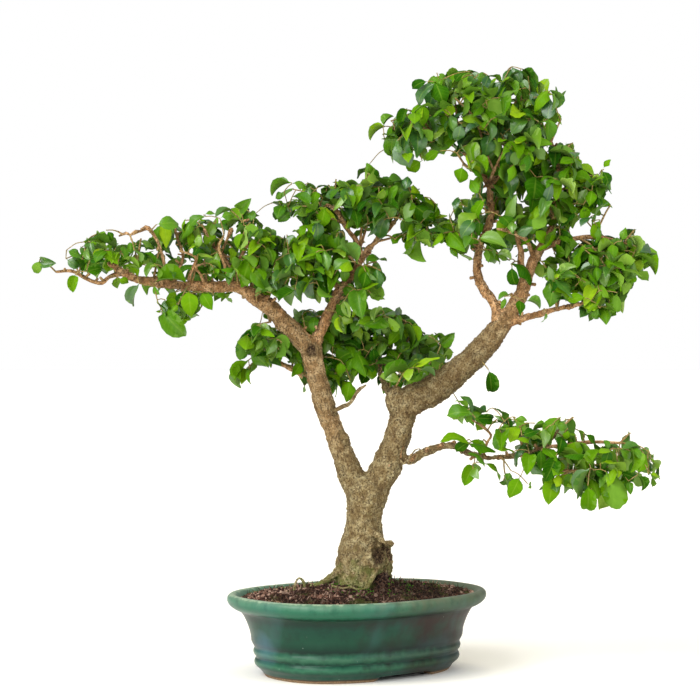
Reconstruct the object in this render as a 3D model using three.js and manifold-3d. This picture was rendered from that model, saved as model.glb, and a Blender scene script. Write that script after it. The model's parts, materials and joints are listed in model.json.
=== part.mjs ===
// A privet bonsai in its glazed oval pot, in millimetres, with +Z up.
// The tree is seen from the front when looking along +Y, so +X is to the viewer's right.
// Every place below is measured from the middle of the pot's foot, on the table. At the end the whole
// group is shifted so that the origin lies under the middle of the tree's own box.
import * as THREE from 'three';
import { mergeVertices } from 'three/addons/utils/BufferGeometryUtils.js';
import Module from 'manifold-3d';

const wasm = await Module();
wasm.setup();

const TURN = 2 * Math.PI;
const UP = new THREE.Vector3(0, 0, 1);

// The space that is left between two pieces that touch.
const SEAT_GAP = 0.3;

// No edge of a shoot is shorter than this.
const SHORTEST_EDGE = 0.005;

// Where the tree's front is judged from: a viewer level with the middle of the tree.
const EYE_DISTANCE = 2150;
const EYE_X = -8;
const EYE_HEIGHT = 321;

// The pot: an oval a little squarer than an ellipse, turned so that its left end is nearer the viewer.
const POT_TURN = THREE.MathUtils.degToRad(38);
const OVAL_POWER = 2.4;
const OVAL_SEGMENTS = 36;
const HALF_LENGTH_OVER_HALF_WIDTH = 31;
const FLOOR_HEIGHT = 13;
const FLOOR_EDGE_HALF_LENGTH = 88;
const FOOT_HEIGHT = 5;
const FOOT_INNER_HALF_LENGTH = 88;
const FOOT_GAP_LENGTH = 68;
const DRAIN_RADIUS = 9;
const DRAIN_SEGMENTS = 24;
const DRAIN_SPACING = 88;

// The outside of the pot from its foot to its lip: half length and height.
const POT_OUTSIDE = [
  [97.5, 0], [99, 3], [103, 6.5], [107.4, 11], [108.4, 15], [106.8, 18.6], [107, 20.4], [109.4, 24],
  [110.8, 29], [111, 36], [112.2, 43], [115.4, 52], [119, 59.5], [122.4, 63.6], [126.8, 65.6], [131.4, 69],
  [133.8, 73.4], [133.6, 77.6], [131.2, 80.2],
];

// The inside of the pot, from the lip down to its floor.
const POT_INSIDE = [
  [126.6, 80.2], [122.6, 76.6], [116.4, 66], [110, 54], [104.6, 40], [101.4, 26], [97, 16],
];

// The soil's top, from the pot's wall to the foot of the trunk: the share of the rim's oval, and height.
const SOIL_RIM_HALF_LENGTH = 120.6;
const SOIL_TOP = [[1, 74.6], [0.86, 78], [0.62, 82], [0.36, 86.5], [0.14, 88.5]];

// The soil touches the pot's wall up to this depth under its own rim, with this space around it.
const SOIL_WALL_DEPTH = 4;
const SOIL_INSET = SEAT_GAP + 0.1;

// The drainage mesh over each hole.
const MESH_SIDE = 34;
const MESH_THICKNESS = 1.2;
const MESH_HOLE = 8;
const MESH_HOLES_ACROSS = 3;
const MESH_PITCH = 10.5;

// The woody skeleton. Each limb is a list of points: x and z as they are seen from the front, at the
// pot's own distance, y as the real depth behind the pot's middle, and the limb's radius there.
const LIMBS = {
  trunk: [
    [7, 0, 58, 34], [6, 0, 74, 33], [5, 0, 86, 30.5], [5, 0, 98, 29], [6, 0, 112, 27.5], [4, 0, 124, 24.5],
    [4, 0, 137, 21.5], [5.5, 0, 150, 18.5], [5.5, 0, 160, 17.8], [6.5, 0, 170, 20], [8, 0, 182, 22],
    [8, 0, 190, 18],
  ],
  left_limb: [
    [6, 0, 168, 14], [-4, 0, 190, 13.4], [-10, 0, 202, 12.6], [-14, 1, 213, 11.8], [-19, 1, 227, 11],
    [-26, 2, 245, 9.8], [-32, 2, 260, 10.2], [-36, 2, 274, 10.4], [-40.5, 1, 291, 9.8], [-45, 0, 309, 9.4],
    [-47, -1, 322, 10.4], [-49, -2, 330, 7],
  ],
  right_limb: [
    [12, 0, 168, 15], [22, 0, 190, 15], [29, 0, 204, 14.6], [34, 0, 219, 14.2], [39, 0, 232, 13],
    [42.5, -1, 246, 12.6], [46, -2, 260, 13.4], [51, -3, 270, 14.6], [60, -4, 274, 15], [75, -5, 281, 14.4],
    [102, -8, 301, 13], [124, -10, 323, 11.6], [137, -11, 338, 10.8], [148, -12, 352, 9],
  ],
  left_branch: [
    [-47, -1, 322, 9.6], [-56, -4, 331, 9.6], [-65, -6, 340, 9.4], [-76, -8, 350, 8.8], [-90, -11, 366, 8],
    [-101, -13, 372, 7.2], [-111, -15, 379, 6.2], [-122, -17, 384, 6], [-147, -20, 384, 5.6],
    [-167, -22, 385, 5.1], [-185, -24, 386, 4.7], [-205, -27, 389, 4.4], [-221, -29, 392, 4.1],
    [-235, -31, 398, 3.9], [-243, -32, 404, 3.6], [-250, -33, 408, 2.6],
  ],
  left_tip: [
    [-236, -31, 398, 3], [-249, -34, 394, 2.2], [-256, -35, 388, 2], [-267, -36, 390, 1.9],
    [-276, -36, 395, 1.8], [-287, -36, 400, 1.7], [-302, -37, 399, 1.5],
  ],
  middle_branch: [
    [-47, -1, 318, 7], [-37, 2, 341, 6], [-25, 4, 366, 5.2], [-19, 5, 380, 4.6], [-6, 6, 396, 4.2],
    [1, 7, 408, 3.9], [9, 8, 420, 3.5], [17, 8, 429, 3.2], [27, 9, 440, 3], [37, 9, 450, 2.6],
  ],
  middle_side: [
    [4, 7, 415, 3], [-2, 4, 431, 2.6], [-8, 1, 438, 2.4], [-14, -2, 447, 2.3], [-21, -5, 459, 2.1],
    [-29, -8, 465, 1.9], [-38, -9, 467, 1.7],
  ],
  back_left_branch: [
    [-36, 3, 268, 6], [-40, 24, 278, 4.6], [-48, 42, 290, 3.6], [-66, 54, 302, 2.9], [-96, 58, 316, 2.2],
  ],
  back_right_branch: [
    [46, 0, 262, 7], [36, 22, 274, 4.8], [26, 42, 288, 3.8], [24, 56, 304, 3], [48, 62, 324, 2.2],
  ],
  crown_left_branch: [
    [141, -11, 346, 7.4], [138, -9, 365, 5.4], [130, -6, 376, 5.2], [124, -4, 385, 5], [120, -2, 394, 4.8],
    [119, 0, 405, 4.6], [120, 1, 417, 4.4], [123, 2, 429, 4.2], [127, 3, 437, 4.1], [132, 3, 449, 3.9],
    [133, 3, 462, 3.7], [132, 3, 471, 3.5], [131, 3, 483, 3.3], [127, 2, 493, 3.1], [116, 0, 508, 2.7],
    [98, -2, 524, 2.3], [72, -4, 540, 1.9],
  ],
  crown_top_branch: [
    [131, 3, 478, 3.4], [140, 5, 500, 2.9], [148, 6, 524, 2.5], [146, 6, 552, 2], [138, 4, 572, 1.6],
  ],
  crown_right_branch: [
    [148, -12, 350, 9], [156, -12, 364, 7.6], [164, -11, 377, 6.8], [169, -10, 395, 6], [176, -9, 412, 5.2],
    [186, -8, 428, 4.3], [196, -7, 452, 3.4], [202, -7, 484, 2.7], [198, -8, 512, 2.2], [192, -9, 532, 1.7],
  ],
  crown_side_branch: [[182, -9, 422, 3.6], [206, -14, 430, 2.7], [236, -18, 434, 2.2], [266, -20, 428, 1.7]],
  crown_inner_stem: [[168, -10, 392, 4], [163, -16, 406, 3.6], [163, -19, 420, 3.2], [158, -22, 438, 2.4]],
  low_crown_branch: [
    [146, -12, 347, 6], [158, -14, 350, 4], [170, -17, 354, 3.6], [185, -21, 358, 3.2], [199, -24, 362, 2.8],
    [214, -27, 365, 2.4], [226, -29, 368, 1.9],
  ],
  low_right_branch: [
    [34, 0, 216, 7], [46, -4, 213, 5], [54, -7, 212, 4.4], [68, -11, 219, 4], [86, -15, 225, 3.6],
    [98, -17, 224, 3.4], [111, -19, 218, 3.2], [125, -21, 214, 3], [146, -24, 214, 2.6],
    [166, -27, 218, 2.3], [186, -30, 224, 2], [194, -31, 233, 1.8], [203, -32, 244, 1.5],
  ],
  low_right_outer: [[186, -30, 224, 2], [208, -31, 226, 1.9], [234, -31, 229, 1.7], [262, -30, 228, 1.4]],
  low_right_lower: [[160, -26, 217, 2.2], [182, -29, 209, 2], [202, -31, 201, 1.8], [226, -33, 200, 1.4]],
};

// Wood thicker than a radius gets that many sides, and thick wood has shallow ribs that wind round it.
const LIMB_SIDES = [[12, 10], [4.5, 6], [0, 4]];
const RIBBED_FROM_RADIUS = 10;
const RIB_COUNT = 3;
const RIB_HEIGHT = 0.04;
const RIB_TURN = 0.9;

// How far a limb's ends bulge, as a share of its radius there.
const START_BULGE = 0.3;
const TIP_BULGE = 0.5;

// Bare twigs, stubs and knobs, given in the same way and grown together with the wood.
const BARE_TWIGS = {
  left_limb_twig: [
    [-30, 2, 256, 2.6], [-20, -6, 262, 1.6], [-8, -10, 268, 1.4], [0, -12, 280, 1.3], [8, -13, 286, 1],
  ],
  trunk_stub: [[20, -8, 124, 7], [30, -10, 126, 6], [36, -11, 127, 4.4]],
  limb_knob: [[-20, 0, 236, 6], [-11, -5, 233, 5]],
  elbow_lip: [[42, -2, 262, 7], [38, -7, 276, 6.4], [37, -8, 285, 4]],
  elbow_burl: [[54, -6, 262, 9], [58, -14, 264, 6.5]],
  dead_twig: [
    [-190, -25, 387, 2.4], [-193, -42, 404, 2.2], [-199, -50, 426, 2], [-210, -53, 442, 1.8],
    [-226, -54, 437, 1.6], [-238, -55, 437, 1.2],
  ],
  inner_twig: [[-126, -18, 386, 3.2], [-129, -15, 403, 2.7], [-137, -12, 418, 2.4], [-144, -10, 424, 1.8]],
  inner_side_twig: [[-127, -16, 396, 2], [-119, -12, 411, 1.8], [-108, -9, 430, 1.5]],
  upright_twig: [
    [-185, -24, 386, 2.2], [-179, -22, 400, 1.9], [-175, -18, 416, 1.7], [-181, -14, 434, 1.5],
    [-184, -10, 447, 1.3],
  ],
  low_twig: [
    [125, -21, 214, 2], [129, -19, 228, 1.6], [133, -18, 236, 1.5], [124, -16, 245, 1.3],
    [112, -14, 252, 1.2],
  ],
};

// Roots that spread from the foot of the trunk into the soil, and the mossy arch root on the left.
const ROOTS = {
  left_root: [[-12, -8, 96, 12], [-26, -13, 87, 8], [-40, -17, 82, 5.4], [-52, -20, 78, 4]],
  arch_root: [
    [-48, -19, 78, 3.2], [-53, -20, 85, 2.8], [-59, -20, 89, 2.6], [-64, -20, 84, 2.8], [-66, -20, 76, 3],
  ],
  front_root: [[0, -16, 94, 12], [-3, -27, 84, 9], [-6, -38, 74, 5]],
  right_root: [[20, -6, 96, 13], [34, -10, 84, 8], [42, -12, 74, 5]],
  back_root: [[4, 16, 94, 12], [0, 28, 84, 9], [-4, 38, 74, 5]],
};

// Where wood has rotted back at old cuts: the middle of each hollow and its half sizes.
const OLD_CUTS = [
  { at: [21, -27, 115], half: [7.5, 8, 11] },
  { at: [-46, -12, 321], half: [3, 4.5, 4] },
  { at: [30, -6, 284], half: [5, 6, 5] },
];
const HOLLOW_SEGMENTS = 14;
const HOLLOW_RINGS = 8;

// The leafy shoots: a name, where the shoot leaves the wood, and the tips of its twigs. The first twig
// starts on the nearest limb, and the others leave it part of the way along.
const SHOOTS = [
  ['left_tip_shoot_1', [-300, -37, 399], [[-318, -34, 410], [-322, -46, 398]]],
  ['left_tip_shoot_2', [-278, -36, 396], [[-286, -52, 426], [-270, -18, 430], [-290, -58, 382]]],
  ['left_tip_shoot_3', [-240, -32, 401], [[-250, -14, 440], [-234, -64, 424]]],
  ['left_pad_shoot_1', [-220, -29, 392], [[-212, -54, 448], [-222, 2, 428]]],
  ['left_pad_shoot_2', [-206, -27, 389], [[-198, 14, 430], [-176, 10, 412]]],
  ['left_pad_shoot_3', [-210, -28, 390], [[-228, -58, 366], [-200, -62, 368]]],
  ['left_pad_shoot_4', [-184, -10, 446], [[-196, -2, 456], [-176, -18, 458]]],
  ['left_pad_shoot_5', [-168, -22, 385], [[-160, -58, 424], [-180, -62, 366]]],
  ['left_pad_shoot_6', [-150, -20, 384], [[-152, 22, 436], [-128, 30, 408], [-138, -56, 370]]],
  ['left_pad_shoot_7', [-144, -10, 424], [[-140, -20, 458], [-160, 0, 452]]],
  ['left_pad_shoot_8', [-108, -9, 430], [[-100, -8, 456], [-122, -14, 458]]],
  ['left_pad_shoot_9', [-120, -17, 384], [[-98, -50, 432], [-124, -58, 402]]],
  ['left_pad_shoot_10', [-108, -15, 378], [[-86, 26, 428], [-102, 30, 392]]],
  ['middle_pad_shoot_1', [-38, -9, 467], [[-66, -4, 482], [-52, -30, 494]]],
  ['middle_pad_shoot_2', [-22, -6, 460], [[-20, -22, 500], [-36, 22, 492]]],
  ['middle_pad_shoot_3', [-13, -2, 446], [[-58, 22, 456], [-44, -38, 446]]],
  ['middle_pad_shoot_4', [4, 5, 424], [[8, -12, 500], [22, 24, 486]]],
  ['middle_pad_shoot_5', [36, 9, 449], [[64, -4, 474], [50, -30, 494]]],
  ['middle_pad_shoot_6', [16, 8, 428], [[34, -46, 452], [48, -36, 424], [72, 34, 426]]],
  ['middle_pad_shoot_7', [0, 7, 406], [[-34, -44, 420], [-48, -30, 440]]],
  ['middle_pad_shoot_8', [-18, 5, 381], [[-60, -28, 404], [-70, 14, 426]]],
  ['middle_pad_shoot_9', [-6, 6, 396], [[28, -40, 398], [34, 30, 410]]],
  ['back_pad_shoot_1', [-92, 58, 314], [[-118, 62, 338], [-108, 82, 302]]],
  ['back_pad_shoot_2', [-66, 54, 302], [[-84, 72, 282], [-62, 80, 340]]],
  ['back_pad_shoot_3', [-44, 32, 284], [[-26, 62, 326], [-14, 66, 296]]],
  ['back_pad_shoot_4', [24, 54, 302], [[2, 68, 352], [14, 92, 322]]],
  ['back_pad_shoot_5', [46, 62, 323], [[62, 72, 352], [86, 66, 334]]],
  ['crown_shoot_1', [74, -4, 539], [[24, -12, 548], [40, -34, 562]]],
  ['crown_shoot_2', [88, -3, 531], [[66, 12, 578], [54, -30, 520]]],
  ['crown_shoot_3', [104, -1, 518], [[98, -18, 588], [92, -44, 552]]],
  ['crown_shoot_4', [139, 4, 570], [[116, -8, 596], [152, 8, 600]]],
  ['crown_shoot_5', [147, 6, 548], [[178, 20, 590], [172, -22, 572]]],
  ['crown_shoot_6', [148, 6, 524], [[124, -46, 566], [108, 36, 552]]],
  ['crown_shoot_7', [192, -9, 530], [[212, -12, 566], [182, -44, 548]]],
  ['crown_shoot_8', [200, -8, 506], [[232, -20, 520], [220, 24, 530]]],
  ['crown_shoot_9', [202, -7, 480], [[240, 16, 494], [234, -44, 480]]],
  ['crown_shoot_10', [134, 3, 486], [[156, -54, 506], [88, -42, 488]]],
  ['crown_shoot_11', [133, 3, 460], [[92, 22, 474], [150, 42, 478]]],
  ['crown_shoot_12', [121, 1, 424], [[84, -34, 438], [88, 20, 440], [90, -34, 404]]],
  ['crown_shoot_13', [196, -7, 452], [[188, -56, 470], [176, 40, 452]]],
  ['crown_shoot_14', [158, -22, 437], [[140, -56, 456], [166, -56, 424]]],
  ['right_side_shoot_1', [236, -18, 434], [[260, -10, 474], [236, -58, 452]]],
  ['right_side_shoot_2', [265, -20, 428], [[296, -26, 412], [282, 2, 446]]],
  ['right_side_shoot_3', [220, -16, 432], [[250, -44, 400], [232, 26, 408]]],
  ['right_side_shoot_4', [225, -29, 368], [[250, -34, 356], [240, -50, 386]]],
  ['right_side_shoot_5', [198, -24, 362], [[194, -60, 390], [214, 8, 388]]],
  ['low_right_shoot_1', [84, -15, 224], [[96, -32, 250], [72, -2, 250]]],
  ['low_right_shoot_2', [112, -14, 252], [[102, -10, 264]]],
  ['low_right_shoot_3', [122, -21, 215], [[106, -34, 192]]],
  ['low_right_shoot_4', [166, -27, 218], [[160, -54, 252], [158, 6, 250]]],
  ['low_right_shoot_5', [202, -32, 243], [[214, -36, 270], [196, -60, 262], [228, -8, 258]]],
  ['low_right_shoot_6', [214, -32, 200], [[246, -40, 172], [260, -22, 198], [190, -56, 178]]],
  ['low_right_shoot_7', [260, -30, 228], [[296, -32, 216], [268, -40, 258], [278, 4, 240]]],
];

// Leaves and twigs.
const LEAF_SEED = 7;
const LEAF_LENGTH = 23;
const LEAF_LENGTH_SPREAD = 6;
const LEAF_WIDTH_TO_LENGTH = 0.56;
const LEAF_THICKNESS = 1.6;
const LEAF_WIDEST_AT = 0.45;
const LEAF_FOLD = 0.1;
const LEAF_DROOP = 0.14;
const LEAF_ROOM = 0.6;
const LONG_TWIG = 48;
const FIRST_PAIR_AT = 0.06;
const LAST_PAIR_AT = 0.7;
const TIP_LEAF_AT = 0.95;
const TWIG_BASE_RADIUS = 1.4;
const TWIG_TIP_RADIUS = 0.9;
const TWIG_ARCH = 0.12;
const SIDE_TWIG_AT = 0.6;
const TWIG_SIDES = 3;
const TWIG_STEPS = 2;

// How leaves stand: how far they point forward along their twig, up, and into it, and how each pair is
// rolled round the twig from the one before.
const LEAF_FORWARD = 0.75;
const LEAF_FORWARD_SPREAD = 0.3;
const LEAF_RISE = 0.15;
const LEAF_SUNK = 0.5;
const PAIR_ROLL = 0.2;
const PAIR_ROLL_STEP = 0.7;
const PAIR_ROLL_SPREAD = 0.5;

// Gives the same numbers between 0 and 1 on every run.
function seededRandom(seed) {
  let state = seed;
  return () => {
    state = (state * 1664525 + 1013904223) % 4294967296;
    return state / 4294967296;
  };
}

// Turns a place seen from the front into a real one: things in front of the pot look larger than they are.
function realPlace([x, y, z]) {
  const scale = 1 + y / EYE_DISTANCE;
  return new THREE.Vector3(EYE_X + (x - EYE_X) * scale, y, EYE_HEIGHT + (z - EYE_HEIGHT) * scale);
}

function toSolid(geometry) {
  const bare = new THREE.BufferGeometry();
  bare.setAttribute('position', geometry.getAttribute('position'));
  bare.setIndex(geometry.getIndex());
  const merged = mergeVertices(bare, 1e-4);
  return new wasm.Manifold(new wasm.Mesh({
    numProp: 3,
    vertProperties: new Float32Array(merged.getAttribute('position').array),
    triVerts: new Uint32Array(merged.getIndex().array),
  }));
}

function toGeometry(solid) {
  const mesh = solid.getMesh();
  const geometry = new THREE.BufferGeometry();
  geometry.setAttribute('position', new THREE.BufferAttribute(mesh.vertProperties, 3));
  geometry.setIndex(new THREE.BufferAttribute(mesh.triVerts, 1));
  geometry.computeVertexNormals();
  return geometry;
}

// A closed body with one ring of points after another, and a point in the middle of each end. The rings
// turn to the left round the direction in which they follow each other.
function skinOf(rings, startPoint, endPoint) {
  const count = rings[0].length;
  const points = [...rings.flat(), startPoint, endPoint];
  const start = points.length - 2;
  const end = points.length - 1;
  const last = (rings.length - 1) * count;
  const index = [];
  for (let i = 0; i < count; i += 1) {
    const next = (i + 1) % count;
    index.push(start, next, i);
    index.push(end, last + i, last + next);
    for (let row = 0; row < last; row += count) {
      index.push(row + i, row + next, row + count + next);
      index.push(row + i, row + count + next, row + count + i);
    }
  }
  const geometry = new THREE.BufferGeometry().setFromPoints(points);
  geometry.setIndex(index);
  return geometry;
}

// One level of the pot or the soil: an oval ring of the given half length, turned as the pot stands,
// and drawn in to a share of that size.
function ovalRing(halfLength, height, share = 1) {
  const halfWidth = halfLength - HALF_LENGTH_OVER_HALF_WIDTH;
  const ring = [];
  for (let i = 0; i < OVAL_SEGMENTS; i += 1) {
    const angle = (i / OVAL_SEGMENTS) * TURN;
    const along = Math.sign(Math.cos(angle)) * Math.abs(Math.cos(angle)) ** (2 / OVAL_POWER);
    const across = Math.sign(Math.sin(angle)) * Math.abs(Math.sin(angle)) ** (2 / OVAL_POWER);
    const point = new THREE.Vector3(share * halfLength * along, share * halfWidth * across, height);
    ring.push(point.applyAxisAngle(UP, POT_TURN));
  }
  return ring;
}

function ovalBody(rings) {
  const middleOf = (ring) => new THREE.Vector3(0, 0, ring[0].z);
  return toSolid(skinOf(rings, middleOf(rings[0]), middleOf(rings[rings.length - 1])));
}

const ringsOf = (profile) => profile.map(([halfLength, height]) => ovalRing(halfLength, height));

function placeOnPot(geometry, along, across, height) {
  geometry.translate(along, across, height);
  geometry.rotateZ(POT_TURN);
  return geometry;
}

const DRAINS = [-DRAIN_SPACING / 2, DRAIN_SPACING / 2];

function makePot() {
  const floorEdge = [FLOOR_EDGE_HALF_LENGTH, FLOOR_HEIGHT];
  let pot = ovalBody(ringsOf([...POT_OUTSIDE, ...POT_INSIDE, floorEdge]));
  const footRoom = [[FOOT_INNER_HALF_LENGTH, -1], [FOOT_INNER_HALF_LENGTH, FOOT_HEIGHT]];
  pot = pot.subtract(ovalBody(ringsOf(footRoom)));
  const acrossPot = 2 * POT_OUTSIDE[0][0];
  const footGap = new THREE.BoxGeometry(FOOT_GAP_LENGTH, acrossPot, 2 * FOOT_HEIGHT);
  pot = pot.subtract(toSolid(placeOnPot(footGap, 0, 0, 0)));
  for (const along of DRAINS) {
    const drill = new THREE.CylinderGeometry(DRAIN_RADIUS, DRAIN_RADIUS, 2 * FLOOR_HEIGHT, DRAIN_SEGMENTS);
    drill.rotateX(Math.PI / 2);
    pot = pot.subtract(toSolid(placeOnPot(drill, along, 0, FLOOR_HEIGHT)));
  }
  return pot;
}

// A square of plastic mesh, lying on the pot's floor over a drainage hole.
function makeDrainMesh(along) {
  const middleHeight = FLOOR_HEIGHT + SEAT_GAP + MESH_THICKNESS / 2;
  const sheet = new THREE.BoxGeometry(MESH_SIDE, MESH_SIDE, MESH_THICKNESS);
  let mesh = toSolid(placeOnPot(sheet, along, 0, middleHeight));
  const middleHole = (MESH_HOLES_ACROSS - 1) / 2;
  for (let i = 0; i < MESH_HOLES_ACROSS; i += 1) {
    for (let j = 0; j < MESH_HOLES_ACROSS; j += 1) {
      const hole = new THREE.BoxGeometry(MESH_HOLE, MESH_HOLE, 2 * MESH_THICKNESS);
      const holeAlong = along + (i - middleHole) * MESH_PITCH;
      const holeAcross = (j - middleHole) * MESH_PITCH;
      mesh = mesh.subtract(toSolid(placeOnPot(hole, holeAlong, holeAcross, middleHeight)));
    }
  }
  return mesh;
}

// The room that the mesh takes out of the soil above it.
function meshRoom(along) {
  const side = MESH_SIDE + 2 * SEAT_GAP;
  const height = 2 * (MESH_THICKNESS + 2 * SEAT_GAP);
  return toSolid(placeOnPot(new THREE.BoxGeometry(side, side, height), along, 0, FLOOR_HEIGHT));
}

function makeSoil(woodRoom) {
  const sidesTop = SOIL_TOP[0][1] - SOIL_WALL_DEPTH;
  const walls = [...POT_INSIDE].reverse().filter(([, height]) => height < sidesTop);
  const sides = walls.map(([halfLength, height]) => [halfLength - SOIL_INSET, height + SEAT_GAP]);
  const bottom = [FLOOR_EDGE_HALF_LENGTH - SOIL_INSET, FLOOR_HEIGHT + SEAT_GAP];
  const top = SOIL_TOP.map(([share, height]) => ovalRing(SOIL_RIM_HALF_LENGTH, height, share));
  let soil = ovalBody([...ringsOf([bottom, ...sides]), ...top]);
  for (const along of DRAINS) {
    soil = soil.subtract(meshRoom(along));
  }
  return soil.subtract(woodRoom);
}

// One ring of points round a limb, ribs and all.
function limbRing(middle, side, across, radius, sides, ribs, ribTurn) {
  const ring = [];
  for (let k = 0; k < sides; k += 1) {
    const angle = (k / sides) * TURN;
    const reach = radius + ribs * Math.cos(RIB_COUNT * angle + ribTurn);
    const point = middle.clone().addScaledVector(side, reach * Math.cos(angle));
    ring.push(point.addScaledVector(across, reach * Math.sin(angle)));
  }
  return ring;
}

// A limb: a curve through its points, and a ring at each of them. The rings follow the curve without
// twisting. extra widens the limb on all sides, and ribShare is the height of its ribs.
function makeLimb(points, extra, ribShare) {
  const curve = new THREE.CatmullRomCurve3(points.map(realPlace), false, 'centripetal');
  const widest = Math.max(...points.map((point) => point[3]));
  const [, sides] = LIMB_SIDES.find(([radius]) => widest > radius);
  const last = points.length - 1;
  const rings = [];
  let side = new THREE.Vector3().crossVectors(curve.getTangent(0), new THREE.Vector3(0, 1, 0));
  points.forEach(([, , , radius], i) => {
    const ahead = curve.getTangent(i / last);
    side = side.clone().addScaledVector(ahead, -side.dot(ahead)).normalize();
    const across = new THREE.Vector3().crossVectors(ahead, side);
    const middle = curve.getPoint(i / last);
    rings.push(limbRing(middle, side, across, radius + extra, sides, ribShare * radius, RIB_TURN * i));
  });
  const startBulge = START_BULGE * points[0][3] + extra;
  const tipBulge = TIP_BULGE * points[last][3] + extra;
  const startCap = curve.getPoint(0).addScaledVector(curve.getTangent(0), -startBulge);
  const tipCap = curve.getPoint(1).addScaledVector(curve.getTangent(1), tipBulge);
  return toSolid(skinOf(rings, startCap, tipCap));
}

function makeWood(extra) {
  const limbs = Object.values(LIMBS).map((points) => {
    const ribShare = points[0][3] > RIBBED_FROM_RADIUS ? RIB_HEIGHT : 0;
    return makeLimb(points, extra, ribShare);
  });
  const others = [...Object.values(BARE_TWIGS), ...Object.values(ROOTS)];
  const parts = [...limbs, ...others.map((points) => makeLimb(points, extra, 0))];
  return parts.reduce((joined, part) => joined.add(part));
}

function carveOldCuts(wood) {
  let carved = wood;
  for (const { at, half } of OLD_CUTS) {
    const hollow = new THREE.SphereGeometry(1, HOLLOW_SEGMENTS, HOLLOW_RINGS);
    hollow.scale(...half);
    hollow.translate(...realPlace(at).toArray());
    carved = carved.subtract(toSolid(hollow));
  }
  return carved;
}

// The nearest point of the skeleton's centre lines, which are looked at in small steps.
function nearestWood(place) {
  const stepsPerPoint = 8;
  let best = null;
  for (const points of [...Object.values(LIMBS), ...Object.values(BARE_TWIGS)]) {
    const curve = new THREE.CatmullRomCurve3(points.map(realPlace), false, 'centripetal');
    for (const candidate of curve.getPoints(points.length * stepsPerPoint)) {
      if (!best || candidate.distanceTo(place) < best.distanceTo(place)) {
        best = candidate;
      }
    }
  }
  return best;
}

// A twig's curve: it leaves its base, arches up and ends at its tip.
function twigCurve(base, tip) {
  const middle = base.clone().lerp(tip, 0.5).addScaledVector(UP, TWIG_ARCH * base.distanceTo(tip));
  return new THREE.CatmullRomCurve3([base, middle, tip], false, 'centripetal');
}

function makeTwig(curve) {
  const slanted = new THREE.Vector3(0.3, 1, 0.2);
  const rings = [];
  for (let i = 0; i <= TWIG_STEPS; i += 1) {
    const t = i / TWIG_STEPS;
    const ahead = curve.getTangent(t);
    const side = new THREE.Vector3().crossVectors(ahead, slanted).normalize();
    const across = new THREE.Vector3().crossVectors(ahead, side);
    const radius = THREE.MathUtils.lerp(TWIG_BASE_RADIUS, TWIG_TIP_RADIUS, t);
    rings.push(limbRing(curve.getPoint(t), side, across, radius, TWIG_SIDES, 0, 0));
  }
  return toSolid(skinOf(rings, curve.getPoint(0), curve.getPoint(1)));
}

// A leaf: a thin closed body, thickest in its middle, with its two halves folded up and a low tip.
function makeLeaf(base, ahead, length) {
  const across = new THREE.Vector3().crossVectors(ahead, UP).normalize();
  const faceUp = new THREE.Vector3().crossVectors(across, ahead).normalize();
  const halfWidth = (LEAF_WIDTH_TO_LENGTH * length) / 2;
  const rise = LEAF_FOLD * length;
  const place = (along, out, up) => base.clone()
    .addScaledVector(ahead, along * length)
    .addScaledVector(across, out)
    .addScaledVector(faceUp, up - along ** 2 * LEAF_DROOP * length);
  const leftEdge = place(LEAF_WIDEST_AT, halfWidth, rise);
  const rightEdge = place(LEAF_WIDEST_AT, -halfWidth, rise);
  const top = place(LEAF_WIDEST_AT, 0, LEAF_THICKNESS / 2);
  const bottom = place(LEAF_WIDEST_AT, 0, -LEAF_THICKNESS / 2);
  return toSolid(skinOf([[place(0, 0, 0), leftEdge, place(1, 0, 0), rightEdge]], bottom, top));
}

// The places and directions of the leaves on one twig: opposite pairs, and a last leaf at the tip. The
// twig's solid is straight from its middle to its tip, and the leaves start inside that stretch.
function leavesOnTwig(curve, random) {
  const leaves = [];
  const middle = curve.getPoint(0.5);
  const tip = curve.getPoint(1);
  const ahead = tip.clone().sub(middle).normalize();
  const level = new THREE.Vector3().crossVectors(ahead, UP).normalize();
  const places = curve.getLength() > LONG_TWIG ? [LAST_PAIR_AT, FIRST_PAIR_AT] : [LAST_PAIR_AT];
  places.forEach((place, pair) => {
    const roll = PAIR_ROLL + PAIR_ROLL_STEP * pair + PAIR_ROLL_SPREAD * (random() - 0.5);
    const turned = level.clone().applyAxisAngle(ahead, roll);
    for (const way of [1, -1]) {
      const direction = ahead.clone().multiplyScalar(LEAF_FORWARD + LEAF_FORWARD_SPREAD * random());
      direction.addScaledVector(turned, way).addScaledVector(UP, LEAF_RISE).normalize();
      const base = middle.clone().lerp(tip, place).addScaledVector(direction, -LEAF_SUNK);
      leaves.push({ base, direction });
    }
  });
  leaves.push({ base: middle.clone().lerp(tip, TIP_LEAF_AT), direction: ahead });
  return leaves;
}

function isClear(solid, others) {
  return others.every((other) => solid.minGap(other, LEAF_ROOM) >= LEAF_ROOM);
}

// Whether a body survives in a file of rounded numbers: no two of its corners are at the same place, and
// all its edges have some length.
function isSound(solid) {
  const { numProp, vertProperties, triVerts } = solid.getMesh();
  const corner = (vertex) => new THREE.Vector3().fromArray(vertProperties, numProp * vertex);
  const count = vertProperties.length / numProp;
  const places = new Set();
  for (let vertex = 0; vertex < count; vertex += 1) {
    places.add(corner(vertex).toArray().map((value) => Math.round(value / SHORTEST_EDGE)).join(' '));
  }
  const hasLength = (from, to) => corner(triVerts[from]).distanceTo(corner(triVerts[to])) > SHORTEST_EDGE;
  for (let i = 0; i < triVerts.length; i += 3) {
    if (!hasLength(i, i + 1) || !hasLength(i + 1, i + 2) || !hasLength(i + 2, i)) {
      return false;
    }
  }
  return places.size === count;
}

function largestBody(solid) {
  return solid.decompose().reduce((best, body) => (body.volume() > best.volume() ? body : best));
}

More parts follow.
